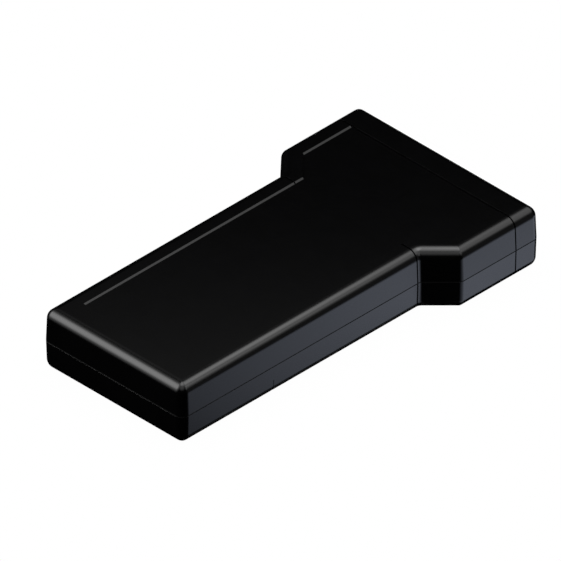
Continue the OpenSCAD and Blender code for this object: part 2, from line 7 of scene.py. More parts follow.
import bmesh
import bpy
from mathutils import Matrix, Vector


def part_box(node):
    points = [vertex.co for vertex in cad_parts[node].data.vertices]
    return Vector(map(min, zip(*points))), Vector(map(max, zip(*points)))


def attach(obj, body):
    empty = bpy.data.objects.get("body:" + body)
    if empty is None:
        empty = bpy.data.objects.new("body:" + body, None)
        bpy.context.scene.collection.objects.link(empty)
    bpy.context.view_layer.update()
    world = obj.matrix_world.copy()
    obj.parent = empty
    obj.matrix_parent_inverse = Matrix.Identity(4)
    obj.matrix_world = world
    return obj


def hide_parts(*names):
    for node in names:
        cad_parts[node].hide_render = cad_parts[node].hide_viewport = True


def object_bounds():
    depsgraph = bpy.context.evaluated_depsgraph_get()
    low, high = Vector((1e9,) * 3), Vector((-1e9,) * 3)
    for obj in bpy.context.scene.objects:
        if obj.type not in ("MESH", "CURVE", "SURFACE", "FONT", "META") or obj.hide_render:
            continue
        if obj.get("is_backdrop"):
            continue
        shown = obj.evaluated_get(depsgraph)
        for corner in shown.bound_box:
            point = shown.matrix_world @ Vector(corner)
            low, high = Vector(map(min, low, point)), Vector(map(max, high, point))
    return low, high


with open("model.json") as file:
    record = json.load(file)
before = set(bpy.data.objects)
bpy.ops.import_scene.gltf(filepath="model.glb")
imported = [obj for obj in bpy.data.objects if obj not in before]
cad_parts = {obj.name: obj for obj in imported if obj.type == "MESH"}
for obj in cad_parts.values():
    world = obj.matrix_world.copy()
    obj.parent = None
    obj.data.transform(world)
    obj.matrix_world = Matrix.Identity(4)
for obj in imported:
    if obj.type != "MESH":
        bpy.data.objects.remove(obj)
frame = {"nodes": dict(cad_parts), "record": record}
cad_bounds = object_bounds()

MM = 0.001
BODY_OF = {node: body for body, nodes in frame["record"]["behaviour"]["bodies"].items() for node in nodes}


# ---- places from the CAD -------------------------------------------------------------------

def cad(node):
    """Lowest and highest corner of a CAD node, in millimetres."""
    low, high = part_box(node)
    return low / MM, high / MM


def middle(low, high):
    """Middle of a box, as (x, y, z)."""
    return tuple((a + b) / 2 for a, b in zip(low, high))


def islands(node):
    """Box of each separate solid of a CAD node, in millimetres, ordered along Y and then X."""
    mesh = frame["nodes"][node].data
    keys = [tuple(round(c / MM * 1000) for c in v.co) for v in mesh.vertices]
    owner = {k: k for k in keys}

    def root(k):
        while owner[k] != k:
            owner[k] = owner[owner[k]]
            k = owner[k]
        return k

    for polygon in mesh.polygons:
        first = root(keys[polygon.vertices[0]])
        for v in polygon.vertices[1:]:
            owner[root(keys[v])] = first
    groups = {}
    for k in owner:
        groups.setdefault(root(k), []).append(k)
    boxes = []
    for points in groups.values():
        low = Vector([min(p[i] for p in points) / 1000 for i in range(3)])
        high = Vector([max(p[i] for p in points) / 1000 for i in range(3)])
        boxes.append((low, high))
    return sorted(boxes, key=lambda b: (round(b[0].y, 1), b[0].x))


def centres(node):
    """Middle of each separate solid seen from above, at height 0."""
    return [(*middle(low, high)[:2], 0) for low, high in islands(node)]


CASE_LOW, CASE_HIGH = cad_bounds[0] / MM, cad_bounds[1] / MM
FRONT_Y, BACK_Y = CASE_LOW.y, CASE_HIGH.y
CASE_H = CASE_HIGH.z
HEAD_HALF = CASE_HIGH.x

# Driving sizes of the two shells, as in the CAD
GRIP_HALF = 38.6
PARTING_Z = 13.4
NECK_Y = FRONT_Y + 131.2
STEP = HEAD_HALF - GRIP_HALF
NECK_SHIFT = math.tan(math.radians(22.5))
EDGE_R = 4.6
CORNER_R = 4.1
NECK_INNER_R = 1.5
NECK_OUTER_R = 3.0
DRAFT = 2.0
WALL = 2.4
CEILING_T = 3.0
FLOOR_T = 2.4
INNER_R = EDGE_R - WALL
LIP_INSET = 1.3
LIP_H = 1.0
LIP_GAP = 0.1
PARTING_BEVEL = 0.012
PARTING_GAP = 0.42
PARTING_DEPTH = 0.35
RECESS_DEPTH = 0.6
RECESS_SLOPE = 0.6
RECESS_SIDE = 9.2
RECESS_FRONT = 13.8
RECESS_NECK = 134.4
RECESS_REAR = 172.2
SEAMS = ((GRIP_HALF, FRONT_Y + 129.7), (HEAD_HALF, FRONT_Y + 172.3))
SEAM_W = 0.6
SEAM_DEPTH = 0.58
WINDOW_HALF, WINDOW_LOW, WINDOW_HIGH = 40.0, 6.0, 21.0
BAY_LOW, BAY_HIGH = (-27.6, FRONT_Y + 3.8), (27.6, FRONT_Y + 48.5)
# The door's hooks: X of the stem's two faces and of the flange's tip, and spans along Y
HOOK_X, STEM_X, FLANGE_X = 29.9, 31.1, 32.6
HOOKS = [(FRONT_Y + d, FRONT_Y + d + 6) for d in (14, 34)]
PIN_HALF = 0.32
CORNER_STEPS = 14
STEP_STEPS = 6
EDGE_STEPS = 12
SIDES = (-1, 1)


# ---- mesh helpers --------------------------------------------------------------------------

def bend(corner, angle, turn, radius, steps):
    """Points of a round bend at a corner. turn is signed in degrees, left is positive."""
    a, sign = math.radians(angle), math.copysign(1, turn)
    reach = radius * math.tan(math.radians(abs(turn) / 2))
    cx = corner[0] - reach * math.cos(a) - sign * radius * math.sin(a)
    cy = corner[1] - reach * math.sin(a) + sign * radius * math.cos(a)
    points = []
    for i in range(steps + 1):
        b = math.radians(angle - 90 * sign + turn * i / steps)
        points.append((cx + radius * math.cos(b), cy + radius * math.sin(b)))
    return points


def both_halves(half):
    return half + [(-x, y) for x, y in reversed(half)]


def rounded(low, high, radius, steps=5):
    """Outline of a rectangle with round corners."""
    (x0, y0), (x1, y1) = low, high
    corners = (((x1, y0), 0), ((x1, y1), 90), ((x0, y1), 180), ((x0, y0), 270))
    return [p for corner, angle in corners for p in bend(corner, angle, 90, radius, steps)]


def circle(radius, steps):
    turns = [2 * math.pi * i / steps for i in range(steps)]
    return [(radius * math.cos(b), radius * math.sin(b)) for b in turns]


def dome(radius, height, top, steps):
    """Profile of a domed end, from its rim up to the axis."""
    turns = [math.radians(90 * k / steps) for k in range(steps)]
    return [(radius * math.cos(a), top - height + height * math.sin(a)) for a in turns] + [(0, top)]


def inset_outline(outline, d):
    """Outline moved inwards by d along the mean of each corner's two normals."""
    count, points = len(outline), []
    area = sum(a[0] * b[1] - b[0] * a[1] for a, b in zip(outline, outline[1:] + outline[:1]))
    sign = 1 if area > 0 else -1
    for i, p in enumerate(outline):
        before = Vector(p) - Vector(outline[i - 1])
        after = Vector(outline[(i + 1) % count]) - Vector(p)
        n1 = Vector((-before.y, before.x)).normalized() * sign
        n2 = Vector((-after.y, after.x)).normalized() * sign
        mean = (n1 + n2).normalized()
        points.append(tuple(Vector(p) + mean * (d / max(mean.dot(n1), 0.5))))
    return points


def stack(outline, levels):
    """Rings of an outline, each at an inset and a height."""
    return [[(x, y, z) for x, y in outline(d)] for d, z in levels]


TURNS = {"z": Matrix.Identity(3), "y": Matrix.Rotation(-math.pi / 2, 3, "X"),
         "x": Matrix.Rotation(math.pi / 2, 3, "Y"), "-x": Matrix.Rotation(-math.pi / 2, 3, "Y")}


def turned(at, axis, r, h, part):
    """Point at radius r and height h, a part of a full turn round an axis through at."""
    b = 2 * math.pi * part
    return Vector(at) + TURNS[axis] @ Vector((r * math.cos(b), r * math.sin(b), h))


class Form:
    """A mesh under construction, in millimetres. Each call adds one closed solid."""

    def __init__(self):
        self.bm = bmesh.new()

    def close(self, faces, slot):
        for face in faces:
            face.material_index = slot
        bmesh.ops.recalc_face_normals(self.bm, faces=faces)
        return self

    def loft(self, rings, closed=False, slot=0):
        """Solid through rings of equal length, capped at both ends, or joined end to end if closed."""
        rows = [[self.bm.verts.new(p) for p in ring] for ring in rings]
        made = []
        for a, b in zip(rows, rows[1:] + rows[:1] if closed else rows[1:]):
            for j in range(len(a)):
                k = (j + 1) % len(a)
                made.append(self.bm.faces.new((a[j], a[k], b[k], b[j])))
        if not closed:
            made.append(self.bm.faces.new(rows[0]))
            made.append(self.bm.faces.new(rows[-1]))
        return self.close(made, slot)

    def prism(self, outline, axis, low, high, bevel=0.0, slot=0):
        """Outline pulled along an axis, with its end edges bevelled by insetting the outline."""
        if bevel:
            small = inset_outline(outline, bevel)
            levels = [(small, low), (outline, low + bevel), (outline, high - bevel), (small, high)]
        else:
            levels = [(outline, low), (outline, high)]
        along = "xyz".index(axis)
        return self.loft([[(*p[:along], h, *p[along:]) for p in points] for points, h in levels], slot=slot)

    def bar(self, low, high, axis, radius, bevel=0.0):
        """Bar that fills a box, with round corners about an axis and bevelled ends."""
        along = "xyz".index(axis)
        u, v = [i for i in range(3) if i != along]
        outline = rounded((low[u], low[v]), (high[u], high[v]), radius)
        return self.prism(outline, axis, low[along], high[along], bevel)

    def block(self, corner, opposite, bevel=0.0, slot=0):
        """Box between two opposite corners, with bevelled edges."""
        low, high = zip(*(sorted(pair) for pair in zip(corner, opposite)))
        size = [b - a for a, b in zip(low, high)]
        matrix = Matrix.Translation((Vector(low) + Vector(high)) / 2) @ Matrix.Diagonal((*size, 1))
        made = bmesh.ops.create_cube(self.bm, size=1, matrix=matrix)["verts"]
        faces = {f for v in made for f in v.link_faces}
        width = min(bevel, min(size) * 0.3)
        if width > 0:
            edges = list({e for v in made for e in v.link_edges})
            out = bmesh.ops.bevel(self.bm, geom=edges, offset=width, segments=2, profile=0.5,
                                  affect="EDGES", clamp_overlap=True)
            faces = {f for f in faces if f.is_valid} | set(out["faces"])
        for face in faces:
            face.material_index = slot
        return self

    def lathe(self, profile, at, axis="z", steps=48, slot=0):
        """Solid of revolution. profile is (radius, height) pairs that start and end on the axis."""
        rows = []
        for r, h in profile:
            count = 1 if r < 1e-6 else steps
            rows.append([self.bm.verts.new(turned(at, axis, r, h, i / steps)) for i in range(count)])
        made = []
        for a, b in zip(rows, rows[1:]):
            for i in range(steps):
                j = (i + 1) % steps
                corners = [a[i % len(a)], a[j % len(a)], b[j % len(b)], b[i % len(b)]]
                unique = list(dict.fromkeys(corners))
                if len(unique) > 2:
                    made.append(self.bm.faces.new(unique))
        return self.close(made, slot)

    def rod(self, radius, low, high, at, axis="z", steps=48):
        """Plain cylinder from height low to high."""
        return self.lathe([(0, low), (radius, low), (radius, high), (0, high)], at, axis, steps)

    def ring(self, profile, at, axis="z", steps=48, slot=0):
        """Solid of revolution from a closed profile that doesn't touch the axis."""
        rings = [[turned(at, axis, r, h, i / steps) for r, h in profile] for i in range(steps)]
        return self.loft(rings, closed=True, slot=slot)

    def tube(self, path, section, slot=0, up=(0, 0, 1)):
        """Section of (side, up) points carried along a path without twisting."""
        path = [Vector(p) for p in path]
        rings, normal = [], Vector(up)
        for i, p in enumerate(path):
            ahead = path[min(i + 1, len(path) - 1)] - path[max(i - 1, 0)]
            ahead.normalize()
            normal = (normal - ahead * normal.dot(ahead)).normalized()
            side = ahead.cross(normal)
            rings.append([p + side * u + normal * v for u, v in section])
        return self.loft(rings, slot=slot)

    def object(self):
        """The finished mesh as an object in metres."""
        bmesh.ops.scale(self.bm, vec=(MM, MM, MM), verts=self.bm.verts)
        mesh = bpy.data.meshes.new("shape")
        self.bm.to_mesh(mesh)
        self.bm.free()
        obj = bpy.data.objects.new("shape", mesh)
        bpy.context.scene.collection.objects.link(obj)
        shade(obj)
        return obj


def shade(obj):
    """Smooth shading, with edges over 32 degrees kept crisp."""
    limit = math.radians(32)
    bm = bmesh.new()
    bm.from_mesh(obj.data)
    for face in bm.faces:
        face.smooth = True
    for edge in bm.edges:
        edge.smooth = len(edge.link_faces) == 2 and edge.calc_face_angle(0) < limit
    bm.to_mesh(obj.data)
    bm.free()


def as_object(shape):
    return shape.object() if isinstance(shape, Form) else shape


def carve(shape, *cutters, operation="DIFFERENCE"):
    """Applies exact booleans with the cutters, in order, and deletes the cutters."""
    obj = as_object(shape)
    for cutter in cutters:
        tool = cutter.object()
        modifier = obj.modifiers.new("carve", "BOOLEAN")
        modifier.object = tool
        modifier.operation = operation
        modifier.solver = "EXACT"
        graph = bpy.context.evaluated_depsgraph_get()
        mesh = bpy.data.meshes.new_from_object(obj.evaluated_get(graph))
        obj.modifiers.clear()
        obj.data = mesh
        bpy.data.objects.remove(tool)
    bm = bmesh.new()
    bm.from_mesh(obj.data)
    bmesh.ops.remove_doubles(bm, verts=bm.verts, dist=1e-7)
    bmesh.ops.dissolve_degenerate(bm, edges=bm.edges, dist=1e-7)
    bm.to_mesh(obj.data)
    bm.free()
    shade(obj)
    return obj


def piece(shape, node, *materials):
    """Makes a shape into the piece that stands for a CAD node, with its materials and body."""
    obj = as_object(shape)
    obj.name = obj.data.name = node + "_piece"
    # Clearing the materials resets each face's choice, so the choices are put back
    chosen = [face.material_index for face in obj.data.polygons]
    obj.data.materials.clear()
    for material in materials:
        obj.data.materials.append(material)
    obj.data.polygons.foreach_set("material_index", chosen)
    even = obj.modifiers.new("even shading", "WEIGHTED_NORMAL")
    even.keep_sharp = True
    even.weight = 100
    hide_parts(node)
    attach(obj, BODY_OF[node])


# ---- materials -----------------------------------------------------------------------------

class Nodes:
    """Node-tree helper."""

    def __init__(self, tree, clear=False):
        self.tree = tree
        if clear:
            tree.nodes.clear()

    def node(self, kind, **inputs):
        made = self.tree.nodes.new("ShaderNode" + kind)
        for key, value in inputs.items():
            made.inputs[key.replace("_", " ")].default_value = value
        return made

    def link(self, source, target):
        self.tree.links.new(source, target)

    def ramp(self, value, low, high, a, b, smooth=False):
        """Maps value from low..high onto a..b."""
        made = self.node("MapRange", From_Min=low, From_Max=high, To_Min=a, To_Max=b)
        if smooth:
            made.interpolation_type = "SMOOTHSTEP"
        self.link(value, made.inputs["Value"])
        return made.outputs["Result"]

    def math(self, operation, a, b):
        """Result of an operation on two values, each a socket or a number."""
        made = self.node("Math")
        made.operation = operation
        for socket, value in zip(made.inputs, (a, b)):
            if isinstance(value, (int, float)):
                socket.default_value = value
            else:
                self.link(value, socket)
        return made.outputs["Value"]


class Shader(Nodes):
    """Material around one Principled BSDF."""

    def __init__(self, name, **inputs):
        self.material = bpy.data.materials.new(name)
        self.material.use_nodes = True
        super().__init__(self.material.node_tree)
        self.bsdf = self.tree.nodes["Principled BSDF"]
        self.coords = self.node("TexCoord").outputs["Object"]
        for key, value in inputs.items():
            self.bsdf.inputs[key.replace("_", " ")].default_value = value

    def noise(self, feature_mm, detail=4, stretch=(1, 1, 1)):
        """Noise from 0 to 1 with features of a given size, longer along an axis by its stretch."""
        mapping = self.node("Mapping", Scale=[1 / s for s in stretch])
        self.link(self.coords, mapping.inputs["Vector"])
        noise = self.node("TexNoise", Scale=1 / (feature_mm * MM), Detail=detail)
        self.link(mapping.outputs["Vector"], noise.inputs["Vector"])
        return noise.outputs["Fac"]

    def base(self, factor, a, b):
        """Sets the base colour to a mix of two colours."""
        made = self.node("Mix")
        made.data_type = "RGBA"
        self.link(factor, made.inputs["Factor"])
        for name, colour in (("A", a), ("B", b)):
            socket = [s for s in made.inputs if s.name == name and s.type == "RGBA"][0]
            socket.default_value = (*colour, 1)
        mixed = [s for s in made.outputs if s.type == "RGBA"][0]
        self.link(mixed, self.bsdf.inputs["Base Color"])

    def roughness(self, factor, a, b):
        self.link(self.ramp(factor, 0.3, 0.7, a, b), self.bsdf.inputs["Roughness"])

    def bump(self, height, depth_mm, strength=1.0, edge_mm=0):
        """Raised texture, over edges whose shading is rounded if edge_mm isn't 0."""
        if edge_mm:
            soft = self.node("Bevel", Radius=edge_mm * MM)
            soft.samples = 4
        made = self.node("Bump", Strength=strength, Distance=depth_mm * MM)
        self.link(height, made.inputs["Height"])
        if edge_mm:
            self.link(soft.outputs["Normal"], made.inputs["Normal"])
        self.link(made.outputs["Normal"], self.bsdf.inputs["Normal"])


def moulded(name, colour, roughness, grain_mm=0.3, depth_mm=0.006, edge_mm=0.1, spread=0.02, **inputs):
    """Moulded plastic: fine eroded texture, faint mottling and, if asked for, softened edges."""
    s = Shader(name, IOR=1.5, **inputs)
    darker = tuple(c * 0.85 for c in colour)
    lighter = tuple(min(c * 1.15, 1) for c in colour)
    s.base(s.ramp(s.noise(9, 3), 0.35, 0.65, 0, 1), darker, lighter)
    s.roughness(s.noise(2.5, 4), roughness - spread, roughness + spread)
    s.bump(s.noise(grain_mm, 2), depth_mm, 1.0, edge_mm)
    return s.material


def metal(name, colour, roughness, brush=(1, 1, 1), grain_mm=0.4):
    """Plated sheet or bar, with faint rolling marks and stain-like variation."""
    s = Shader(name, Metallic=1.0)
    s.base(s.ramp(s.noise(3, 4), 0.3, 0.7, 0, 1), tuple(c * 0.86 for c in colour), colour)
    marks = s.noise(grain_mm, 5, brush)
    s.roughness(marks, roughness * 0.75, roughness * 1.3)
    s.bump(marks, 0.004, 0.6, 0.08)
    return s.material


def solder_mask():
    """Green board: copper tracks under the mask, as faint raised lines on a square grid."""
    s = Shader("board_mask", IOR=1.5, Coat_Weight=0.4, Coat_Roughness=0.12)
    tracks = s.node("TexBrick", Scale=1 / (2.4 * MM), Mortar_Size=0.06, Mortar_Smooth=0.2, Brick_Width=2.3,
                    Row_Height=0.45)
    tracks.offset = 0.37
    s.link(s.coords, tracks.inputs["Vector"])
    region = s.ramp(s.noise(14, 1), 0.48, 0.52, 0, 1)
    lines = s.math("MULTIPLY", tracks.outputs["Fac"], region)
    s.base(lines, (0.004, 0.055, 0.02), (0.012, 0.13, 0.05))
    s.roughness(s.noise(1.5), 0.28, 0.36)
    s.bump(lines, 0.03, 0.7, 0.1)
    return s.material


def lamp_resin():
    s = Shader("lamp_resin", IOR=1.5, Transmission_Weight=0.55, Roughness=0.18)
    s.base(s.noise(0.8), (0.02, 0.32, 0.07), (0.05, 0.45, 0.12))
    s.bump(s.noise(0.2), 0.002)
    return s.material


CASE_COLOUR = (0.0009, 0.0009, 0.001)
case_black = moulded("case_black", CASE_COLOUR, 0.2, depth_mm=0.002, edge_mm=0, spread=0.006)
# Matt black with no specular reflection, used as painted shade on walls that must stay dark
case_matte_shade = moulded("case_matte_shade", CASE_COLOUR, 0.9, edge_mm=0, Specular_IOR_Level=0.0)
panel_black = moulded("panel_black", (0.014, 0.014, 0.015), 0.50, grain_mm=0.35)
tray_grey = moulded("tray_grey", (0.03, 0.03, 0.033), 0.45)
connector_black = moulded("connector_black", (0.018, 0.018, 0.018), 0.34, grain_mm=0.5, depth_mm=0.003)
chip_resin = moulded("chip_resin", (0.016, 0.016, 0.017), 0.55, grain_mm=0.12, edge_mm=0.05)
pale_plastic = moulded("pale_plastic", (0.62, 0.59, 0.5), 0.35, depth_mm=0.003)
button_red = moulded("button_red", (0.42, 0.012, 0.01), 0.3, depth_mm=0.002)
ferrite = moulded("ferrite", (0.035, 0.034, 0.033), 0.62, grain_mm=0.15, depth_mm=0.01)
ceramic = moulded("ceramic", (0.42, 0.3, 0.17), 0.45, grain_mm=0.15, edge_mm=0.05)
red_sleeve = moulded("red_sleeve", (0.45, 0.01, 0.01), 0.38, depth_mm=0.002)
black_sleeve = moulded("black_sleeve", (0.012, 0.012, 0.012), 0.38, depth_mm=0.002)
cell_sleeve = moulded("cell_sleeve", (0.02, 0.05, 0.16), 0.26, grain_mm=1.5, depth_mm=0.003)
zinc = metal("zinc", (0.62, 0.63, 0.66), 0.3)
tin = metal("tin", (0.72, 0.72, 0.74), 0.22, brush=(1, 6, 1))
gold = metal("gold", (0.88, 0.62, 0.25), 0.24)
aluminium = metal("aluminium", (0.76, 0.77, 0.79), 0.32, brush=(1, 1, 8))
copper = metal("copper", (0.78, 0.32, 0.14), 0.3, grain_mm=0.2)
board_mask = solder_mask()
lamp_green = lamp_resin()


# ---- shells --------------------------------------------------------------------------------

def case_outline(d):
    """The T outline moved inwards by d."""
    shift = d * NECK_SHIFT
    corner_r, outer_r = max(CORNER_R - d, 0.15), max(NECK_OUTER_R - d, 0.15)
    return both_halves(
        bend((GRIP_HALF - d, FRONT_Y + d), 0, 90, corner_r, CORNER_STEPS)
        + bend((GRIP_HALF - d, NECK_Y + shift), 90, -45, NECK_INNER_R + d, STEP_STEPS)
        + bend((HEAD_HALF - d, NECK_Y + STEP + shift), 45, 45, outer_r, STEP_STEPS)
        + bend((HEAD_HALF - d, BACK_Y - d), 90, 90, corner_r, CORNER_STEPS))


def edge_arc(wall, flat, radius, height, start=DRAFT):
    """Side wall's rounded edge as (inset, distance from the flat face), from the drafted wall on."""
    t = math.tan(math.radians(DRAFT))
    c = wall + (height - flat - radius) * t + radius / math.cos(math.radians(DRAFT))
    arc = []
    for i in range(EDGE_STEPS + 1):
        f = math.radians(start + (90 - start) * i / EDGE_STEPS)
        arc.append((c - radius * math.cos(f), flat + radius - radius * math.sin(f)))
    return arc


def from_top(profile):
    return [(inset, CASE_H - z) for inset, z in profile]


def section(half, d):
    """Section across the case in XZ, moved inwards by d."""
    low = edge_arc(d, d, EDGE_R - d, PARTING_Z)[::-1]
    high = from_top(edge_arc(d, d, EDGE_R - d, CASE_H - PARTING_Z))
    return both_halves([(half - inset, z) for inset, z in low + high])


def grooves():
    """Rings round the case that cut the two grooves, with slightly flared lips."""
    flare, w = 0.03, SEAM_W / 2
    stations = ((SEAM_DEPTH, -w), (SEAM_DEPTH, w), (flare, w), (-flare, w + flare), (-3, w + flare),
                (-3, -w - flare), (-flare, -w - flare), (flare, -w))
    return [Form().loft([[(x, y + h, z) for x, z in section(half, d)] for d, h in stations], closed=True)
            for half, y in SEAMS]


def end_window():
    low, high = (-WINDOW_HALF, BACK_Y - 6, WINDOW_LOW), (WINDOW_HALF, BACK_Y + 4, WINDOW_HIGH)
    return Form().bar(low, high, "y", 1.5)


def recess():
    """Cutter for the recess: sloping sides, and upright front and rear walls."""
    def outline(d):
        side = RECESS_SIDE + d
        return both_halves(
            bend((GRIP_HALF - side, FRONT_Y + RECESS_FRONT), 0, 90, 0.3, 3)
            + bend((GRIP_HALF - side, FRONT_Y + RECESS_NECK), 90, -45, 0.5, 3)
            + bend((HEAD_HALF - side, FRONT_Y + RECESS_NECK + STEP), 45, 45, 0.5, 3)
            + bend((HEAD_HALF - side, FRONT_Y + RECESS_REAR), 90, 90, 0.3, 3))
    levels = ((RECESS_SLOPE, CASE_H - RECESS_DEPTH), (0, CASE_H), (0, CASE_H + 2))
    return Form().loft(stack(outline, levels))


def post(at, low, high, radius, bore, bore_span):
    """Round post, and the bore in it."""
    return Form().rod(radius, low, high, at, steps=40), Form().rod(bore, *bore_span, at, steps=32)


def panel_stops(low, high):
    """Upright stops that keep the end panel from moving into the case."""
    y = cad("end_panel")[0].y
    stops = Form()
    for s in SIDES:
        stops.block((s * 40.6, y - 1.9, low), (s * 43.8, y - 0.1, high))
    return stops


def top_cover():
    height, ceiling = CASE_H - PARTING_Z, CASE_H - CEILING_T + 0.5
    profile = (from_top(edge_arc(WALL, CEILING_T, INNER_R, height))[::-1]
               + [(WALL, PARTING_Z + LIP_H + LIP_GAP),
                  (LIP_INSET - LIP_GAP, PARTING_Z + LIP_H + LIP_GAP),
                  (LIP_INSET - LIP_GAP, PARTING_Z),
                  (PARTING_DEPTH, PARTING_Z),
                  (PARTING_DEPTH, PARTING_Z + PARTING_GAP),
                  (PARTING_BEVEL, PARTING_Z + PARTING_GAP),
                  (0, PARTING_Z + PARTING_GAP + PARTING_BEVEL)]
               + from_top(edge_arc(0, 0, EDGE_R, height)))
    low = cad("top_cover")[0].z
    posts = [post(c, low, ceiling, 3.2, 1.25, (low - 1, low + 13)) for c in centres("case_screws")]
    bodies, bores = zip(*posts)
    shell = carve(Form().loft(stack(case_outline, profile)), *bodies, panel_stops(PARTING_Z + 0.2, ceiling),
                  operation="UNION")
    carve(shell, *bores, recess(), end_window(), *grooves())
    # The recess's rear wall and the grooves' far walls are matt with no specular reflection: painted shade
    # that keeps them dark
    painted_shade_walls = [FRONT_Y + RECESS_REAR] + [y + SEAM_W / 2 for _, y in SEAMS]
    for face in shell.data.polygons:
        if face.normal.y < -0.9 and min(abs(face.center.y / MM - y) for y in painted_shade_walls) < 0.05:
            face.material_index = 1
    piece(shell, "top_cover", case_black, case_matte_shade)


def door_cutters():
    """What the battery door, its hooks and its nail relief take from the bottom shell."""
    cut_y, seat, relief = cad("battery_door")[1].y + 0.2, 2.0, 3.0
    reach = GRIP_HALF + 5
    slab = Form().block((-reach, FRONT_Y - 5, -5), (reach, cut_y, seat))
    wedge = [(cut_y - 1, -1), (cut_y + relief, -1), (cut_y + relief, 0), (cut_y, seat), (cut_y - 1, seat)]
    slits, slots = Form(), []
    for s in SIDES:
        slits.block((s * (GRIP_HALF - 0.75), cut_y - 0.15, seat - 0.5), (s * reach, cut_y + 0.15, 7.0))
        for start, end in HOOKS:
            corner = (s * (HOOK_X - 0.1), start - 8.2, 1)
            slots.append(Form().block(corner, (s * (STEM_X + 0.1), end + 0.2, 5)))
            slots.append(Form().block(corner, (s * (FLANGE_X + 0.2), end - 7.8, 5)))
    return [slab, Form().prism(wedge, "x", -reach, reach), slits] + slots


def bottom_cover():
    profile = (edge_arc(0, 0, EDGE_R, PARTING_Z)[::-1]
               + [(0, PARTING_Z - PARTING_BEVEL),
                  (PARTING_BEVEL, PARTING_Z),
                  (LIP_INSET, PARTING_Z),
                  (LIP_INSET, PARTING_Z + LIP_H),
                  (WALL, PARTING_Z + LIP_H)]
               + edge_arc(WALL, FLOOR_T, INNER_R, PARTING_Z))
    board_low = cad("main_board")[0].z
    columns = [post(c, 1, 9, 3.9, 1.65, (-1, 12)) for c in centres("case_screws")]
    columns += [post(c, 1, board_low, 2.6, 1.0, (FLOOR_T, 12)) for c in centres("board_screws")]
    columns += [post(c, 1, 8, 2.6, 0.9, (3, 12)) for c in centres("tray_screws")]
    bodies, bores = zip(*columns)
    rim = Form().block((-GRIP_HALF + 2.8, FRONT_Y + 2.4, 1), (GRIP_HALF - 2.8, FRONT_Y + 55, 4))
    shell = carve(Form().loft(stack(case_outline, profile)), rim, *bodies, panel_stops(1, PARTING_Z - 0.2),
                  operation="UNION")
    head_room = [(0, -1), (3.4, -1), (3.1, 0.25), (3.1, 2.6), (0, 2.6)]
    counterbores = [Form().lathe(head_room, c) for c in centres("case_screws")]
    opening = Form().bar((*BAY_LOW, 1), (*BAY_HIGH, 5), "z", 0.8)
    carve(shell, *bores, *counterbores, opening, *door_cutters(), end_window(), *grooves())
    piece(shell, "bottom_cover", case_black)


def battery_door():
    rear, plate_top = cad("battery_door")[1].y, 1.95
    tangent = math.degrees(math.asin((EDGE_R - plate_top) / EDGE_R))

    def outline(d):
        corner = bend((GRIP_HALF - d, FRONT_Y + d), 0, 90, max(CORNER_R - d, 0.15), CORNER_STEPS)
        return both_halves(corner + [(GRIP_HALF - d, rear)])

    hooks, grips = Form(), Form()
    for s in SIDES:
        hook = [(HOOK_X, plate_top - 0.4), (STEM_X, plate_top - 0.4), (STEM_X, 4.1), (FLANGE_X, 4.1),
                (FLANGE_X, 4.7), (FLANGE_X - 0.4, 5.1), (HOOK_X, 5.1)]
        for start, end in HOOKS:
            hooks.prism([(s * x, z) for x, z in hook], "y", start, end)
    for i in range(5):
        y = rear - 14 + i * 2.4
        grips.bar((-13, y, -1), (13, y + 1.2, 0.5), "z", 0.58)
    levels = edge_arc(0, 0, EDGE_R, PARTING_Z, tangent)[::-1]
    door = carve(Form().loft(stack(outline, levels)), hooks, operation="UNION")
    piece(carve(door, grips), "battery_door", case_black)


def end_panel():
    low, high = cad("end_panel")
    front, back = low.y - 1, high.y + 1
    cuts = []
    for node, radius in (("probe_connector", 0.4), ("usb_shell", 0.5)):
        a, b = cad(node)
        cuts.append(Form().bar((a.x - 0.2, front, a.z - 0.2), (b.x + 0.2, back, b.z + 0.2), "y", radius))
    x, z = middle(*cad("power_switch_frame"))[0], middle(*cad("power_switch_slider"))[2]
    cuts.append(Form().bar((x - 2.6, front, z - 1.2), (x + 2.6, back, z + 1.2), "y", 0.4))
    for node, radius in (("trigger_button", 2.88), ("status_led", 1.6)):
        x, _, z = middle(*cad(node))
        cuts.append(Form().rod(radius, 0, 5, (x, front, z), "y", 64))
    piece(carve(Form().bar(low, high, "y", 0.8, 0.15), *cuts), "end_panel", panel_black)


# ---- fasteners -----------------------------------------------------------------------------

def add_screw(form, at, up, head_r, head_h, shank_r, length, pitch):
    """Pan-head screw with a helical thread. at is the head's top, up is +1 if it faces +Z."""
    steps, per_turn = 32, 6
    crown = [(head_r * 0.55, 0.03 * head_h), (head_r * 0.86, 0.16 * head_h), (head_r, 0.5 * head_h),
             (head_r, head_h)]
    neck = shank_r * 0.8
    rows = int(length / pitch * per_turn)

    def thread(i, row):
        phase = (row / per_turn - i / steps) % 1
        fade = min(1, row / per_turn, (rows - row) / (2 * per_turn))
        return neck + (shank_r - neck) * (1 - abs(2 * phase - 1)) * max(fade, 0)

    rings = [[(r, h)] * steps for r, h in crown]
    for row in range(rows + 1):
        rings.append([(thread(i, row), head_h + row * pitch / per_turn) for i in range(steps)])
    rings.append([(0.15, head_h + rows * pitch / per_turn + shank_r * 0.8)] * steps)

    def spot(r, h, i):
        b = 2 * math.pi * i / steps
        return at[0] + r * math.cos(b), at[1] + r * math.sin(b), at[2] - up * h

    form.loft([[spot(r, h, i) for i, (r, h) in enumerate(ring)] for ring in rings])


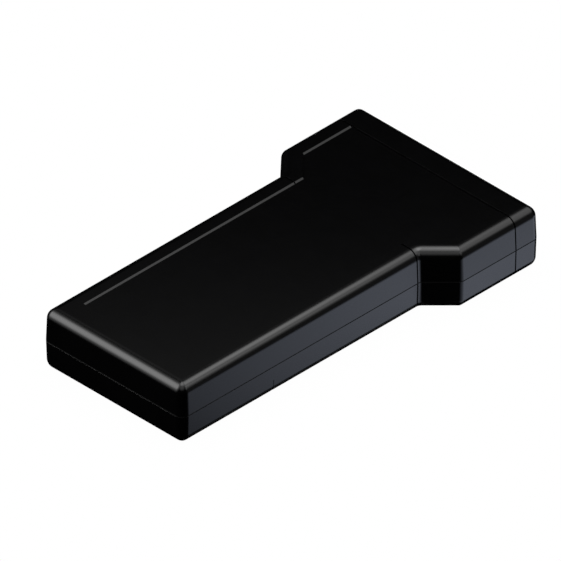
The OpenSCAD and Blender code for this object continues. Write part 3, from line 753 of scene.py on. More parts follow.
def screws(node, up, head_r, head_h, shank_r, pitch, drive):
    """All the screws of one node, each with a cross recess."""
    form, crosses = Form(), Form()
    w = drive * 0.17
    plus = [(w, -drive), (w, -w), (drive, -w), (drive, w), (w, w), (w, drive),
            (-w, drive), (-w, w), (-drive, w), (-drive, -w), (-w, -w), (-w, -drive)]
    for low, high in islands(node):
        x, y, _ = middle(low, high)
        top = high.z if up > 0 else low.z
        add_screw(form, (x, y, top), up, head_r, head_h, shank_r,
                  high.z - low.z - head_h - shank_r * 0.8 - 0.1, pitch)
        z0, z1 = sorted((top + up * 0.5, top - up * head_h * 0.62))
        crosses.prism([(x + px, y + py) for px, py in plus], "z", z0, z1)
    piece(carve(form, crosses), node, zinc)


# ---- battery pack --------------------------------------------------------------------------

def battery_tray():
    low, high = cad("battery_tray")
    rear = FRONT_Y + 49.9
    ears, holes, tabs, scoops = Form(), Form(), Form(), Form()
    for x, y, _ in centres("tray_screws"):
        ears.bar((x - 3.5, rear - 0.6, 8), (x + 3.5, high.y, 10), "z", 1.4, 0.15)
        holes.rod(1.2, 7, 11, (x, y, 0), steps=32)
    for a, b in tab_boxes():
        tabs.block((a.x - 0.16, a.y - 0.1, high.z - 3), (b.x + 0.16, b.y + 0.1, high.z + 1))
    for x in (-18, -6, 6, 18):
        scoops.bar((x - 3, low.y + 4, high.z - 0.4), (x + 3, rear - 4, high.z + 1), "z", 1.5)
    bay = Form().bar((*BAY_LOW, low.z - 1), (*BAY_HIGH, high.z - 1.5), "z", 0.6)
    tray = carve(Form().bar(low, (high.x, rear, high.z), "z", 1.2, 0.25), ears, operation="UNION")
    piece(carve(tray, bay, holes, tabs, scoops), "battery_tray", tray_grey)


def tab_boxes():
    """Boxes of the two solder tabs that rise through the tray's roof."""
    tray_top = cad("battery_tray")[1].z
    boxes = []
    for low, high in islands("battery_contacts"):
        if high.z > tray_top:
            y = middle(low, high)[1]
            boxes.append((Vector((low.x, y - 1.5, low.z)), Vector((high.x, y + 1.5, high.z))))
    return boxes


def cell_way(low, high):
    """+1 if the cell's positive nub points along +X."""
    return 1 if high.x > -low.x else -1


def battery_cells():
    form = Form()
    for low, high in islands("battery_cells"):
        _, y, z = middle(low, high)
        x, axis = (low.x, "x") if cell_way(low, high) > 0 else (high.x, "-x")
        r, length = (high.z - low.z) / 2, high.x - low.x
        body = length - 1.2
        # Metal can with a stepped positive end, then the printed sleeve shrunk over it
        can = [(0, 0.25), (4.2, 0.25), (4.6, 0), (r - 0.9, 0), (r - 0.5, 0.3), (r - 0.45, body - 0.5),
               (r - 1.2, body - 0.05), (3.6, body), (2.75, body + 0.25), (2.7, length - 0.25),
               (2.4, length), (0, length)]
        sleeve = [(r - 1.1, 0.05), (r - 0.5, 0), (r - 0.12, 0.18), (r, 0.6), (r, body - 0.7),
                  (r - 0.15, body - 0.25), (r - 0.6, body - 0.05), (r - 1.3, body + 0.02),
                  (r - 1.3, body - 0.2), (r - 0.7, body - 0.4), (r - 0.42, body - 0.8), (r - 0.42, 0.7),
                  (r - 0.75, 0.3), (r - 1.1, 0.25)]
        form.lathe(can, (x, y, z), axis, 64, 0)
        form.ring(sleeve, (x, y, z), axis, 64, 1)
    piece(form, "battery_cells", aluminium, cell_sleeve)


def battery_springs():
    """Conical coils from the tray's wall to each cell's negative end."""
    form = Form()
    turns, wire, steps = 3.5, 0.3, 98
    for low, high in islands("battery_springs"):
        _, y, z = middle(low, high)
        x_wall, x_cell = (low.x, high.x) if low.x < 0 else (high.x, low.x)
        inward = math.copysign(1, x_cell - x_wall)
        path = []
        for i in range(steps + 1):
            f = i / steps
            rise = max(0, min(1, (f - 0.15) / 0.7))
            r = 3.35 - 1.3 * f
            b = 2 * math.pi * turns * f
            path.append((x_wall + inward * (wire + rise * (abs(x_cell - x_wall) - 2 * wire)),
                         y + r * math.cos(b), z + r * math.sin(b)))
        form.tube(path, circle(wire, 10), up=(1, 0, 0))
    piece(form, "battery_springs", zinc)


def battery_contacts():
    """Plates against the tray's end walls, with a raised button at each cell and a tab to solder to."""
    form = Form()
    for low, high in islands("battery_contacts"):
        plate_top = low.z + 9
        form.bar(low, (high.x, high.y, plate_top), "x", 1.0, 0.05)
        for a, b in tab_boxes():
            if abs(a.x - low.x) < 0.5 and low.y < a.y < high.y:
                form.bar((low.x, a.y, plate_top - 1), (high.x, b.y, high.z), "x", 0.5, 0.05)
        inward = -math.copysign(1, low.x)
        face, axis = (high.x, "x") if inward > 0 else (low.x, "-x")
        for cell in islands("battery_cells"):
            _, y, z = middle(*cell)
            if low.y < y < high.y and cell_way(*cell) * inward < 0:
                form.lathe([(0, -0.05), (2.2, -0.05), (1.7, 0.1), (0, 0.12)], (face, y, z), axis, 32)
    piece(form, "battery_contacts", tin)


def lead(node, side, cross_y, sleeve):
    """Sleeved wire from a solder tab over the tray, and down into the plug, with easy bends."""
    low, high = cad(node)
    r = 0.7
    run_x, plug_x = side * (max(abs(low.x), abs(high.x)) - r), side * 1.25
    plug_y, z = high.y - r, high.z - r
    corners = [(run_x, low.y, z), (run_x, cross_y, z), (plug_x, cross_y, z), (plug_x, plug_y, z),
               (plug_x, plug_y, cad("battery_plug")[1].z)]
    form = Form().tube(soft_path(corners, 3.0), circle(r, 16))
    # Bared and tinned end, laid against the solder tab
    form.tube([(run_x, low.y - 2.2, z), (run_x, low.y + 0.5, z)], circle(0.32, 10), slot=1)
    piece(form, node, sleeve, tin)


def soft_path(corners, radius, steps=10):
    """Path through corners with each bend rounded."""
    corners = [Vector(c) for c in corners]
    path = [corners[0]]
    for before, at, after in zip(corners, corners[1:], corners[2:]):
        a, b = (before - at).normalized(), (after - at).normalized()
        start, end = at + a * radius, at + b * radius
        centre = at + (a + b) * radius
        for i in range(steps + 1):
            f = math.pi / 2 * i / steps
            path.append(centre + (start - centre) * math.cos(f) + (end - centre) * math.sin(f))
    return path + [corners[-1]]


def battery_plug():
    low, high = cad("battery_plug")
    holes = Form()
    for x in (-1.25, 1.25):
        holes.block((x - 0.35, low.y - 1, low.z + 2.2), (x + 0.35, low.y + 0.5, low.z + 4.6))
    piece(carve(Form().bar(low, high, "z", 0.3, 0.2), holes), "battery_plug", pale_plastic)


def battery_socket():
    low, high = cad("battery_socket")
    y = middle(low, high)[1]
    cavity = Form().bar((-2.9, y - 2.1, low.z + 1.1), (2.9, y + 2.1, high.z + 1), "z", 0.3)
    slots = Form()
    for x in (-2.0, 0.6):
        slots.block((x, low.y - 1, low.z + 3), (x + 1.4, low.y + 1, high.z + 1))
    piece(carve(Form().bar(low, high, "z", 0.3, 0.15), cavity, slots), "battery_socket", pale_plastic)


# ---- circuit board -------------------------------------------------------------------------

def main_board():
    low, high = cad("main_board")
    half, grip, neck = high.x, 29.0, NECK_Y + 5
    outline = both_halves(bend((grip, low.y), 0, 90, 1.5, 6) + [(grip, neck), (half, neck + half - grip)]
                          + bend((half, high.y), 90, 90, 1.5, 6))
    # Each hole's place, radius and steps, and the radius of the plated ring round it, if it has one
    holes = [(at, 4.3, 48, 0) for at in centres("case_screws")]
    holes += [(at, 1.3, 32, 2.6) for at in centres("board_screws")]
    holes += [((middle(a, b)[0], a.y + PIN_HALF, 0), 0.5, 16, 0.85) for a, b in islands("probe_pins")]
    drills, pads = Form(), Form()
    for at, r, steps, pad in holes:
        drills.rod(r, low.z - 1, high.z + 1, at, steps=steps)
        if pad:
            # The plating stands just proud of both faces
            for z0, z1 in ((low.z - 0.035, low.z + 0.02), (high.z - 0.02, high.z + 0.035)):
                pads.ring([(r, z0), (pad, z0), (pad, z1), (r, z1)], at, "z", steps, 1)
    board = carve(Form().prism(outline, "z", low.z, high.z, 0.06), drills)
    plating = pads.object()
    bm = bmesh.new()
    for mesh in (board.data, plating.data):
        bm.from_mesh(mesh)
    bm.to_mesh(board.data)
    bm.free()
    bpy.data.objects.remove(plating)
    piece(board, "main_board", board_mask, gold)


def board_top():
    return cad("main_board")[1].z


def gull_lead(form, root, out, width, reach):
    """One gull-wing lead from a chip's side: out is the way it points, as (x, y)."""
    x, y, z = root
    w, t = width / 2, 0.12
    drop = z - board_top() - t / 2
    path = [(0, z), (reach * 0.3, z), (reach * 0.5, z - drop * 0.5), (reach * 0.65, z - drop),
            (reach, z - drop)]
    points = [(x + out[0] * (d - 0.2), y + out[1] * (d - 0.2), h) for d, h in path]
    form.tube(points, [(-w, -t / 2), (w, -t / 2), (w, t / 2), (-w, t / 2)], slot=1)


def lead_places(start, end, pitch):
    """Where the leads of one row stand, centred between start and end."""
    count = int((end - start - pitch) / pitch) + 1
    return [(start + end) / 2 + (i - (count - 1) / 2) * pitch for i in range(count)]


def add_chip(form, low, high, skirt, pitch=0, sides="", mark=True):
    """Moulded chip body with drafted edges, a pin-1 dimple and rows of leads.
    skirt is how far the leads reach in x and y; sides names the rows: "x", "y" or "xy"."""
    base = board_top()
    x0, x1, y0, y1 = low.x + skirt[0], high.x - skirt[0], low.y + skirt[1], high.y - skirt[1]
    mid = base + (high.z - base) * 0.5
    levels = ((0.10, base + 0.08), (0, mid - 0.03), (0, mid + 0.03), (0.10, high.z - 0.06), (0.16, high.z))
    form.loft(stack(lambda d: rounded((x0 + d, y0 + d), (x1 - d, y1 - d), 0.15, 2), levels))
    width = pitch * 0.42
    if "x" in sides:
        for y in lead_places(y0, y1, pitch):
            gull_lead(form, (x0, y, mid), (-1, 0), width, skirt[0] + 0.2)
            gull_lead(form, (x1, y, mid), (1, 0), width, skirt[0] + 0.2)
    if "y" in sides:
        for x in lead_places(x0, x1, pitch):
            gull_lead(form, (x, y0, mid), (0, -1), width, skirt[1] + 0.2)
            gull_lead(form, (x, y1, mid), (0, 1), width, skirt[1] + 0.2)
    if mark:
        r = min(x1 - x0, y1 - y0) * 0.06
        dimple = [(r * 0.7, -0.02), (r, -0.02), (r, 0.025), (r * 0.7, 0.025)]
        form.ring(dimple, (x0 + 3.2 * r, y1 - 3.2 * r, high.z), "z", 20)


def chips(node, skirt, pitch, sides):
    form = Form()
    for low, high in islands(node):
        add_chip(form, low, high, skirt, pitch, sides)
    piece(form, node, chip_resin, tin)


def resistor_networks():
    form = Form()
    for low, high in islands("resistor_networks"):
        form.block((low.x, low.y + 0.2, low.z), (high.x, high.y - 0.2, high.z), 0.06)
        for i in range(4):
            x = low.x + 0.4 + i * 0.8
            for a, b in ((low.y, low.y + 0.45), (high.y - 0.45, high.y)):
                form.block((x - 0.2, a, low.z), (x + 0.2, b, high.z - 0.02), 0.05, 1)
    piece(form, "resistor_networks", chip_resin, tin)


def voltage_regulator():
    form = Form()
    low, high = cad("voltage_regulator")
    add_chip(form, low, high, (0, 1.7), mark=False)
    mid, cx = low.z + (high.z - low.z) * 0.5, middle(low, high)[0]
    for i in (-1, 0, 1):
        gull_lead(form, (cx + i * 2.3, low.y + 1.7, mid), (0, -1), 0.7, 1.9)
    gull_lead(form, (cx, high.y - 1.7, mid), (0, 1), 3.0, 1.9)
    piece(form, "voltage_regulator", chip_resin, tin)


def power_inductor():
    """Drum core with a visible copper winding and two foot plates."""
    low, high = cad("power_inductor")
    cx, cy, _ = middle(low, high)
    r, h = (high.y - low.y) / 2, high.z - low.z
    drum = [(0, 0.15), (r - 0.25, 0.15), (r, 0.4), (r, 0.9), (r - 0.15, 1.05), (r - 1.3, 1.1),
            (r - 1.3, h - 1.1), (r - 0.15, h - 1.05), (r, h - 0.9), (r, h - 0.3), (r - 0.3, h), (2.0, h),
            (1.8, h - 0.25), (0, h - 0.25)]
    form = Form().lathe(drum, (cx, cy, low.z), steps=56)
    turns, wire = 4, 0.22
    for row in range(turns):
        z = 1.1 + wire + row * (h - 2.2 - 2 * wire) / (turns - 1)
        form.ring([(r - 1.25 + wire + u, z + v) for u, v in circle(wire, 10)], (cx, cy, low.z), "z", 56, 1)
    for s in SIDES:
        end = cx + s * (high.x - low.x) / 2
        form.block((cx + s * 2.6, cy - 2.2, low.z), (end, cy + 2.2, low.z + 0.2), 0.05, 2)
    piece(form, "power_inductor", ferrite, copper, tin)


def smoothing_capacitors():
    """Aluminium cans on chamfered bases, with a rolled groove and a dark polarity segment."""
    form = Form()
    r, cut = 3.15, 1.3
    for low, high in islands("smoothing_capacitors"):
        cx, cy, _ = middle(low, high)
        half, z, h = (high.x - low.x) / 2, low.z, high.z - low.z
        base = [(cx - half, cy - half), (cx + half - cut, cy - half), (cx + half, cy - half + cut),
                (cx + half, cy + half - cut), (cx + half - cut, cy + half), (cx - half, cy + half)]
        can = [(0, 0.75), (r - 0.2, 0.75), (r, 0.95), (r, 1.4), (r - 0.22, 1.6), (r - 0.22, 1.75), (r, 1.95),
               (r, h - 0.45), (r - 0.13, h - 0.13), (r - 0.45, h), (r - 0.6, h - 0.08), (0, h - 0.08)]
        arc = [math.radians(130 + 100 * k / 12) for k in range(13)]
        segment = [(cx + (r - 0.66) * math.cos(b), cy + (r - 0.66) * math.sin(b)) for b in arc]
        form.prism(base, "z", z, z + 0.8, 0.1, slot=1)
        form.lathe(can, (cx, cy, z), steps=56)
        form.prism(segment, "z", high.z - 0.1, high.z - 0.05, slot=1)
        for s in SIDES:
            form.block((cx + s * (half - 0.5), cy - 0.4, z), (cx + s * half, cy + 0.4, z + 0.15), 0.03, 2)
    piece(form, "smoothing_capacitors", aluminium, chip_resin, tin)


def ceramic_capacitors():
    form = Form()
    for (x0, y0, z0), (x1, y1, z1) in islands("ceramic_capacitors"):
        form.block((x0 + 0.02, y0 + 0.25, z0 + 0.02), (x1 - 0.02, y1 - 0.25, z1 - 0.02), 0.05)
        for a, b in ((y0, y0 + 0.3), (y1 - 0.3, y1)):
            form.block((x0, a, z0), (x1, b, z1), 0.07, 1)
    piece(form, "ceramic_capacitors", ceramic, tin)


def protection_diode():
    form = Form()
    low, high = cad("protection_diode")
    add_chip(form, low, high, (0.5, 0), mark=False)
    mid, cy = low.z + (high.z - low.z) * 0.45, middle(low, high)[1]
    gull_lead(form, (low.x + 0.5, cy, mid), (-1, 0), 2.0, 0.7)
    gull_lead(form, (high.x - 0.5, cy, mid), (1, 0), 2.0, 0.7)
    form.block((low.x + 0.9, low.y + 0.2, high.z - 0.02), (low.x + 1.5, high.y - 0.2, high.z), 0, 2)
    piece(form, "protection_diode", chip_resin, tin, pale_plastic)


def clock_crystal():
    """Pressed can with a flange and a crowned lid."""
    low, high = cad("clock_crystal")
    cx, cy, _ = middle(low, high)
    r, half, h = (high.y - low.y) / 2, (high.x - low.x) / 2, high.z - low.z

    def stadium(d):
        return rounded((cx - half + d, cy - r + d), (cx + half - d, cy + r - d), r - d - 0.01, 10)

    levels = ((0, 0), (0, 0.35), (0.35, 0.5), (0.35, h - 0.5), (0.5, h - 0.15), (0.85, h))
    piece(Form().loft(stack(stadium, [(d, low.z + z) for d, z in levels])), "clock_crystal", tin)


# ---- connectors ----------------------------------------------------------------------------

def upright(outline, y):
    """Ring of an XZ outline at y."""
    return [(x, y, z) for x, z in outline]


def probe_connector():
    low, high = cad("probe_connector")
    wall, flare, cx = 1.5, 0.35, middle(low, high)[0]
    (x0, z0), (x1, z1) = (low.x + wall, low.z + wall), (high.x - wall, high.z - wall)
    cavity = rounded((x0, z0), (x1, z1), 0.3)
    mouth = rounded((x0 - flare, z0 - flare), (x1 + flare, z1 + flare), 0.4)
    bay = Form().loft([upright(cavity, low.y + 2.2), upright(cavity, high.y - flare),
                       upright(mouth, high.y + 0.01), upright(mouth, high.y + 1)])
    key = Form().block((cx - 2.25, low.y + 3, low.z + 4), (cx + 2.25, high.y + 1, high.z + 1))
    # Holes for the pins, and shallow pockets that thin the end walls from below the rim
    holes, pockets = Form(), Form()
    for a, b in islands("probe_pins"):
        x, z = middle(a, b)[0], b.z - PIN_HALF
        holes.block((x - 0.35, low.y - 1, z - 0.35), (x + 0.35, low.y + 4, z + 0.35))
    for x in (low.x, high.x):
        pockets.block((x - 0.5, low.y + 4.0, low.z + 3.2), (x + 0.5, high.y - 1.4, high.z - 3.2))
    body = carve(Form().bar(low, high, "y", 0.35, 0.2), bay, key, holes, pockets)
    piece(body, "probe_connector", connector_black)


def probe_pins():
    """Square pins with pointed tips, bent down through the board."""
    form = Form()
    bend_r, tip = 0.6, 0.55
    square = [(-PIN_HALF, -PIN_HALF), (PIN_HALF, -PIN_HALF), (PIN_HALF, PIN_HALF), (-PIN_HALF, PIN_HALF)]
    normal = Vector((1, 0, 0))
    for low, high in islands("probe_pins"):
        x, y, z = middle(low, high)[0], low.y + PIN_HALF, high.z - PIN_HALF
        path = [(y, low.z), (y, low.z + 0.4), (y, z - bend_r)]
        for i in range(1, 7):
            f = math.pi / 2 * i / 6
            path.append((y + bend_r * (1 - math.cos(f)), z - bend_r * (1 - math.sin(f))))
        path = [Vector((x, *p)) for p in path + [(high.y - 0.5, z), (high.y, z)]]
        rings = []
        for i, p in enumerate(path):
            ahead = (path[min(i + 1, len(path) - 1)] - path[max(i - 1, 0)]).normalized()
            side = ahead.cross(normal)
            k = tip if i in (0, len(path) - 1) else 1
            rings.append([p + normal * (u * k) + side * (v * k) for u, v in square])
        form.loft(rings)
    piece(form, "probe_pins", gold)


def usb_outline(low, high, d):
    """Square socket outline with the two top corners cut at an angle, moved inwards by d."""
    x0, x1, z0, z1 = low.x + d, high.x - d, low.z + d, high.z - d
    c = 2.2 - d * 0.6
    return (bend((x0, z0), 270, 90, 0.3, 3) + bend((x1, z0), 0, 90, 0.3, 3)
            + bend((x1, z1 - c), 90, 45, 0.4, 3) + bend((x1 - c, z1), 135, 45, 0.4, 3)
            + bend((x0 + c, z1), 180, 45, 0.4, 3) + bend((x0, z1 - c), 225, 45, 0.4, 3))


def usb_shell():
    """Folded tin-plated shell with a rolled mouth and spring tongues in its sides."""
    low, high = cad("usb_shell")
    cx, _, cz = middle(low, high)
    skin, slits = 0.4, Form()
    # Inset and Y of each ring, from the outside round the mouth to the inside
    levels = ((0, low.y), (0, high.y - 0.25), (0.12, high.y), (0.3, high.y), (skin, high.y - 0.3),
              (skin, low.y + skin))
    shell = Form().loft([upright(usb_outline(low, high, d), y) for d, y in levels])
    root, end, half, gap = high.y - 8, high.y - 3, 1.75, 0.3
    for side in (low.x, high.x):
        # U-shaped slit round a spring tongue
        outline = [(root, cz - half), (end, cz - half), (end, cz + half), (root, cz + half),
                   (root, cz + half - gap), (end - gap, cz + half - gap), (end - gap, cz - half + gap),
                   (root, cz - half + gap)]
        slits.prism(outline, "x", side - 0.6, side + 0.6)
    for s in SIDES:
        x = cx + s * 2.6
        for edge in (x - 1.1, x + 1.1):
            slits.block((edge - 0.15, root, high.z - 0.6), (edge + 0.15, end, high.z + 0.5))
    piece(carve(shell, slits), "usb_shell", tin)


def usb_insert():
    low, high = cad("usb_insert")
    shell = cad("usb_shell")
    cx, cz = middle(low, high)[0], middle(*shell)[2]
    body_end, outline = low.y + 4.55, usb_outline(*shell, 0.47)
    tongue = Form().bar((cx - 2.8, body_end - 1, cz - 1.6), (cx + 2.8, high.y, cz + 1.6), "y", 0.35, 0.3)
    body = Form().loft([upright(outline, low.y), upright(outline, body_end)])
    body = carve(body, tongue, operation="UNION")
    channels = Form()
    for s in SIDES:
        for x in (cx - 1.25, cx + 1.25):
            channels.block((x - 0.55, body_end + 0.3, cz + s * 1.45), (x + 0.55, high.y - 0.9, cz + s * 2.1))
    piece(carve(body, channels), "usb_insert", pale_plastic)


def usb_contacts():
    form = Form()
    t = 0.1
    flat = [(-0.42, -t), (0.42, -t), (0.5, 0), (0.42, t), (-0.42, t), (-0.5, 0)]
    insert_z = middle(*cad("usb_insert"))[2]
    for low, high in islands("usb_contacts"):
        x, _, z = middle(low, high)
        up = 1 if z > insert_z else -1
        base = z - up * 0.08
        path = [(low.y, base), (low.y + 1.2, base), (low.y + 2.2, base + up * 0.12),
                (high.y - 2, base + up * 0.12), (high.y - 0.5, base), (high.y, base - up * 0.1)]
        form.tube([(x, *p) for p in path], flat)
    piece(form, "usb_contacts", gold)


# ---- controls ------------------------------------------------------------------------------

def power_switch_body():
    low, high = cad("power_switch_body")
    cx, cz = middle(low, high)[0], middle(*cad("power_switch_slider"))[2]
    cavity = Form().bar((cx - 3.6, low.y + 1, cz - 1.4), (cx + 3.6, high.y + 1, cz + 1.4), "y", 0.15)
    piece(carve(Form().bar(low, high, "y", 0.25, 0.12), cavity), "power_switch_body", connector_black)


def power_switch_frame():
    """Bent steel frame over the switch, with a window for the lever and crimped side tabs."""
    low, high = cad("power_switch_frame")
    cx, cz = middle(low, high)[0], middle(*cad("power_switch_slider"))[2]
    t = 0.3
    inside = Form().block((low.x + t, low.y - 1, low.z - 1.2), (high.x - t, high.y - t, high.z - t))
    window = Form().bar((cx - 2.5, low.y - 1, cz - 1.1), (cx + 2.5, high.y + 1, cz + 1.1), "y", 0.3)
    notches = Form()
    for x in (low.x, high.x):
        notches.block((x - 0.6, low.y - 0.5, low.z - 0.5), (x + 0.6, low.y + 1.0, low.z + 1.2))
    piece(carve(Form().bar(low, high, "y", 0.35, 0.1), inside, window, notches), "power_switch_frame", tin)


def power_switch_slider():
    """Slider block with a ribbed lever."""
    low, high = cad("power_switch_slider")
    cx, _, cz = middle(low, high)
    lever = Form().bar((cx - 1, low.y + 2, cz - 0.95), (cx + 1, high.y, cz + 0.95), "y", 0.25, 0.2)
    slider = carve(Form().bar(low, (high.x, low.y + 2.5, high.z), "y", 0.2, 0.1), lever, operation="UNION")
    ribs = Form()
    for y in (high.y - 0.6, high.y - 1.1, high.y - 1.6):
        for s in SIDES:
            ribs.block((cx - 2, y - 0.12, cz + s * 0.95 - 0.1), (cx + 2, y + 0.12, cz + s * 0.95 + 0.1))
    piece(carve(slider, ribs), "power_switch_slider", connector_black)


def trigger_switch():
    low, high = cad("trigger_switch")
    cx, _, cz = middle(*cad("trigger_button"))
    bore = Form().rod(1.8, 0, 4, (cx, low.y + 1.6, cz), "y")
    corners = Form()
    for sx in SIDES:
        for sz in SIDES:
            corners.rod(0.45, 0, 1, (cx + sx * 2.35, high.y - 0.12, cz + sz * 2.35), "y", 16)
    piece(carve(Form().bar(low, high, "y", 0.3, 0.15), bore, corners), "trigger_switch", connector_black)


def trigger_button():
    """Domed cap with a flange behind the panel and a plunger into the switch."""
    low, high = cad("trigger_button")
    x, _, z = middle(low, high)
    r = 2.8
    profile = [(0, 0), (1.5, 0), (1.72, 0.2), (1.72, 2.1), (3.3, 2.1), (3.4, 2.2), (3.4, 3.0), (3.3, 3.1),
               (r, 3.1)]
    profile += dome(r, 0.9, high.y - low.y, 6)
    piece(Form().lathe(profile, (x, low.y, z), "y", 64), "trigger_button", button_red)


def led_holder():
    low, high = cad("led_holder")
    piece(Form().bar(low, high, "y", 0.4, 0.2), "led_holder", connector_black)


def status_led():
    low, high = cad("status_led")
    x, _, z = middle(low, high)
    r = (high.x - low.x) / 2
    profile = [(0, 0), (r, 0)] + dome(r, r, high.y - low.y, 12)
    piece(Form().lathe(profile, (x, low.y, z), "y"), "status_led", lamp_green)


# ---- assembly ------------------------------------------------------------------------------

top_cover()
bottom_cover()
battery_door()
end_panel()
screws("case_screws", -1, 2.75, 1.9, 1.2, 1.1, 1.6)
screws("board_screws", 1, 2.3, 1.6, 0.95, 0.8, 1.3)
screws("tray_screws", 1, 2.0, 1.4, 0.85, 0.8, 1.2)
battery_tray()
battery_cells()
battery_springs()
battery_contacts()
lead("positive_lead", 1, FRONT_Y + 50, red_sleeve)
lead("negative_lead", -1, FRONT_Y + 54, black_sleeve)
battery_plug()
battery_socket()
main_board()
chips("capture_chip", (1, 1), 0.5, "xy")
chips("memory_chips", (0.8, 0), 0.8, "x")
chips("usb_chip", (1, 1), 0.5, "xy")
chips("firmware_memory", (1, 0), 1.27, "x")
chips("input_buffers", (1.2, 0), 0.65, "x")
resistor_networks()
voltage_regulator()
power_inductor()
smoothing_capacitors()
ceramic_capacitors()
protection_diode()
clock_crystal()
probe_connector()
probe_pins()
usb_shell()
usb_insert()
usb_contacts()
power_switch_body()
power_switch_frame()
power_switch_slider()
trigger_switch()
trigger_button()
led_holder()
status_led()


# ---- studio --------------------------------------------------------------------------------

# Soft boxes of the studio as seen by the object: azimuth, elevation, inner and outer half-angle
# in degrees, and radiance
SOFT_BOXES = (
    (153, 50, 0, 36, 1.5),
    (313, 31, 0, 29, 3.0),
    (313, 29, 0, 45, 1.4),
    (225, 86, 2, 32, 2.7),
    (45, 62, 0, 45, 0.9),
    (125, 2, 4, 26, 0.09),
)
AMBIENT = 0.003
# Glowing cards near the object, out of the camera's sight, in metres: centre, size along X and Y,
# colour, a point where the glow is nil, the slope of its radiance along X and Y per metre, its
# highest radiance, the widths over which it fades out at the low-X and high-X sides, and whether
# the room shows through
CARDS = (
    ((0.27, 0.22, -0.1), (0.34, 0.46), (0.83, 0.9, 1.08), (0.131, -0.0345), (-1.0, 6.8), 1.21,
     (0.012, 0.3), False),
    ((-0.28, 0.29, 0.24), (0.44, 0.62), (1.0, 1.0, 1.0), (-0.213, 0.235), (0.7, -0.7), 1.0,
     (0.011, 0.011), False),
    ((0.085, 0.15, 0.25), (0.2, 0.2), (1.0, 1.0, 1.0), (0.0, 0.25), (0.0, -13.2), 1.9,
     (0.07, 0.07), True),
    ((0.47, 0.225, 0.25), (0.56, 0.45), (1.0, 1.0, 1.0), (0.249, 0.34), (1.2, -4.4), 1.1,
     (0.06, 0.15), True),
    ((0, 0, -0.015), (0.088, 0.186), (1.0, 1.0, 1.0), (0.0, -0.25), (0.0, 2.6), 1.2,
     (0.006, 0.006), False),
)
# The end panel and what sits in it
PANEL_NODES = ("end_panel", "probe_connector", "probe_pins", "usb_shell", "usb_insert", "usb_contacts",
               "power_switch_body", "power_switch_frame", "power_switch_slider", "trigger_switch",
               "trigger_button", "led_holder", "status_led")


def direction(azimuth, elevation):
    """Unit vector towards a compass azimuth (0 is -Y, 90 is +X) and an elevation, in degrees."""
    a, e = math.radians(azimuth), math.radians(elevation)
    return Vector((math.sin(a) * math.cos(e), -math.cos(a) * math.cos(e), math.sin(e)))


def blank_material(name):
    material = bpy.data.materials.new(name)
    material.use_nodes = True
    return material, Nodes(material.node_tree, clear=True)


def sheet(name, points, faces, material, location=(0, 0, 0)):
    """Flat mesh of the studio, in metres."""
    mesh = bpy.data.meshes.new(name)
    mesh.from_pydata(points, [], faces)
    mesh.materials.append(material)
    obj = bpy.data.objects.new(name, mesh)
    obj.location = location
    bpy.context.scene.collection.objects.link(obj)
    return obj


def rectangle(half_x, half_y, z):
    return [(-half_x, -half_y, z), (half_x, -half_y, z), (half_x, half_y, z), (-half_x, half_y, z)]


def only_in_reflections(obj):
    """Keeps a piece of studio gear out of the camera's sight and out of the light's way."""
    obj.visible_camera = False
    obj.visible_shadow = False
    obj.visible_diffuse = False
    obj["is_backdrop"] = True


def floor():
    """Pale floor: white from above with a faint contact shade, clear from below."""
    material, n = blank_material("floor")
    out = n.node("OutputMaterial")
    contact = n.node("AmbientOcclusion", Distance=0.02)
    contact.samples = 8
    level = n.ramp(contact.outputs["AO"], 0.0, 0.9, 0.985, 1.0)
    glow, clear = n.node("Emission"), n.node("BsdfTransparent")
    side, mix = n.node("NewGeometry"), n.node("MixShader")
    n.link(level, glow.inputs["Color"])
    n.link(side.outputs["Backfacing"], mix.inputs["Fac"])
    n.link(glow.outputs["Emission"], mix.inputs[1])
    n.link(clear.outputs["BSDF"], mix.inputs[2])
    n.link(mix.outputs["Shader"], out.inputs["Surface"])
    obj = sheet("floor", rectangle(3.0, 3.0, -0.0002), [(0, 1, 2, 3)], material)
    obj.visible_glossy = False
    obj.visible_diffuse = False
    obj.visible_shadow = False
    obj.visible_transmission = False
    obj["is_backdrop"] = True


def studio():
    """Dark room with a few soft boxes, seen only in reflections, in front of a white backdrop."""
    world = bpy.data.worlds.new("studio")
    bpy.context.scene.world = world
    world.use_nodes = True
    n = Nodes(world.node_tree, clear=True)
    towards = n.node("TexCoord").outputs["Generated"]
    total = n.node("Value").outputs[0]
    total.default_value = AMBIENT
    for azimuth, elevation, inner, outer, radiance in SOFT_BOXES:
        dot = n.node("VectorMath")
        dot.operation = "DOT_PRODUCT"
        dot.inputs[1].default_value = direction(azimuth, elevation)
        n.link(towards, dot.inputs[0])
        rim, core = math.cos(math.radians(outer)), math.cos(math.radians(inner))
        total = n.math("ADD", total, n.ramp(dot.outputs["Value"], rim, core, 0.0, radiance, smooth=True))
    room = n.node("Background")
    n.link(total, room.inputs["Color"])
    backdrop = n.node("Background", Color=(1, 1, 1, 1))
    ray, mix, out = n.node("LightPath"), n.node("MixShader"), n.node("OutputWorld")
    n.link(ray.outputs["Is Camera Ray"], mix.inputs["Fac"])
    n.link(room.outputs["Background"], mix.inputs[1])
    n.link(backdrop.outputs["Background"], mix.inputs[2])
    n.link(mix.outputs["Shader"], out.inputs["Surface"])


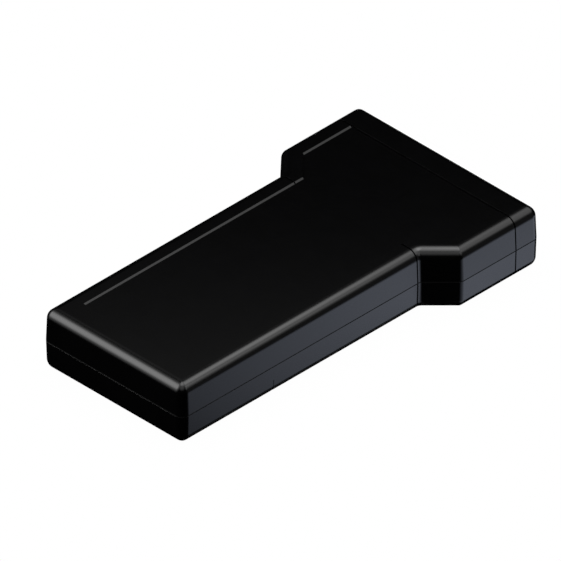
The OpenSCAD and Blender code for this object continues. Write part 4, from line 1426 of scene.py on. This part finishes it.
def card(centre, size, colour, dark_at, slope, brightest, fades, clear):
    """Emissive card whose glow rises evenly from a point along a slope, and fades out at its two sides."""
    half_x, half_y = size[0] / 2, size[1] / 2
    material, n = blank_material("card")
    place, split = n.node("TexCoord"), n.node("SeparateXYZ")
    n.link(place.outputs["Object"], split.inputs[0])
    x, y = split.outputs["X"], split.outputs["Y"]
    start = slope[0] * (centre[0] - dark_at[0]) + slope[1] * (centre[1] - dark_at[1])
    rise = n.math("ADD", n.math("MULTIPLY", x, slope[0]), n.math("MULTIPLY", y, slope[1]))
    level = n.math("MINIMUM", n.math("MAXIMUM", n.math("ADD", rise, start), 0.0), brightest)
    for edge, full in ((-half_x, -half_x + fades[0]), (half_x, half_x - fades[1])):
        level = n.math("MULTIPLY", level, n.ramp(x, edge, full, 0.0, 1.0, smooth=True))
    glow = n.node("Emission", Color=(*colour, 1))
    n.link(level, glow.inputs["Strength"])
    out = n.node("OutputMaterial")
    through = n.node("BsdfTransparent", Color=(1, 1, 1, 1) if clear else (0, 0, 0, 1))
    both = n.node("AddShader")
    n.link(glow.outputs["Emission"], both.inputs[0])
    n.link(through.outputs["BSDF"], both.inputs[1])
    n.link(both.outputs["Shader"], out.inputs["Surface"])
    only_in_reflections(sheet("card", rectangle(half_x, half_y, 0), [(0, 1, 2, 3)], material, centre))


def edge_shade():
    """Black ring under the case's lower edges, which keeps their outline dark."""
    material = bpy.data.materials.new("edge_shade")
    material.use_nodes = True
    bsdf = material.node_tree.nodes["Principled BSDF"]
    bsdf.inputs["Base Color"].default_value = (0, 0, 0, 1)
    bsdf.inputs["Specular IOR Level"].default_value = 0
    outer, inner = case_outline(0), case_outline(EDGE_R - 0.2)
    count = len(outer)
    points = [(x * MM, y * MM, -0.0001) for x, y in outer + inner]
    faces = [(i, (i + 1) % count, count + (i + 1) % count, count + i) for i in range(count)]
    only_in_reflections(sheet("edge_shade", points, faces, material))


def panel_lamp():
    """Soft lamp behind the head. It lights only the end panel and what sits in it."""
    data = bpy.data.lights.new("panel_lamp", "AREA")
    data.size = 0.3
    data.energy = 0.9
    obj = bpy.data.objects.new("panel_lamp", data)
    obj.location = (0.04, 0.4, -0.09)
    obj.rotation_mode = "QUATERNION"
    obj.rotation_quaternion = (Vector((0, BACK_Y * MM, 0.014)) - obj.location).to_track_quat("-Z", "Y")
    obj.visible_camera = False
    bpy.context.scene.collection.objects.link(obj)
    lit = bpy.data.collections.new("panel_lamp_lit")
    for node in PANEL_NODES:
        lit.objects.link(bpy.data.objects[node + "_piece"])
    obj.light_linking.receiver_collection = lit


def camera():
    """Isometric view from the front right, as a flat projection."""
    low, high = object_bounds()
    back = direction(45, 35.264)
    data = bpy.data.cameras.new("camera")
    data.type = "ORTHO"
    data.ortho_scale = 0.21814
    data.shift_x, data.shift_y = -0.00066, 0.0005
    data.clip_start, data.clip_end = 0.01, 10
    obj = bpy.data.objects.new("camera", data)
    obj.rotation_mode = "QUATERNION"
    obj.rotation_quaternion = (-back).to_track_quat("-Z", "Y")
    obj.location = (low + high) / 2 + back * 1.0
    bpy.context.scene.collection.objects.link(obj)
    bpy.context.scene.camera = obj


floor()
studio()
for card_values in CARDS:
    card(*card_values)
edge_shade()
panel_lamp()
camera()
bpy.context.scene.view_settings.view_transform = "Standard"
bpy.context.scene.view_settings.look = "None"
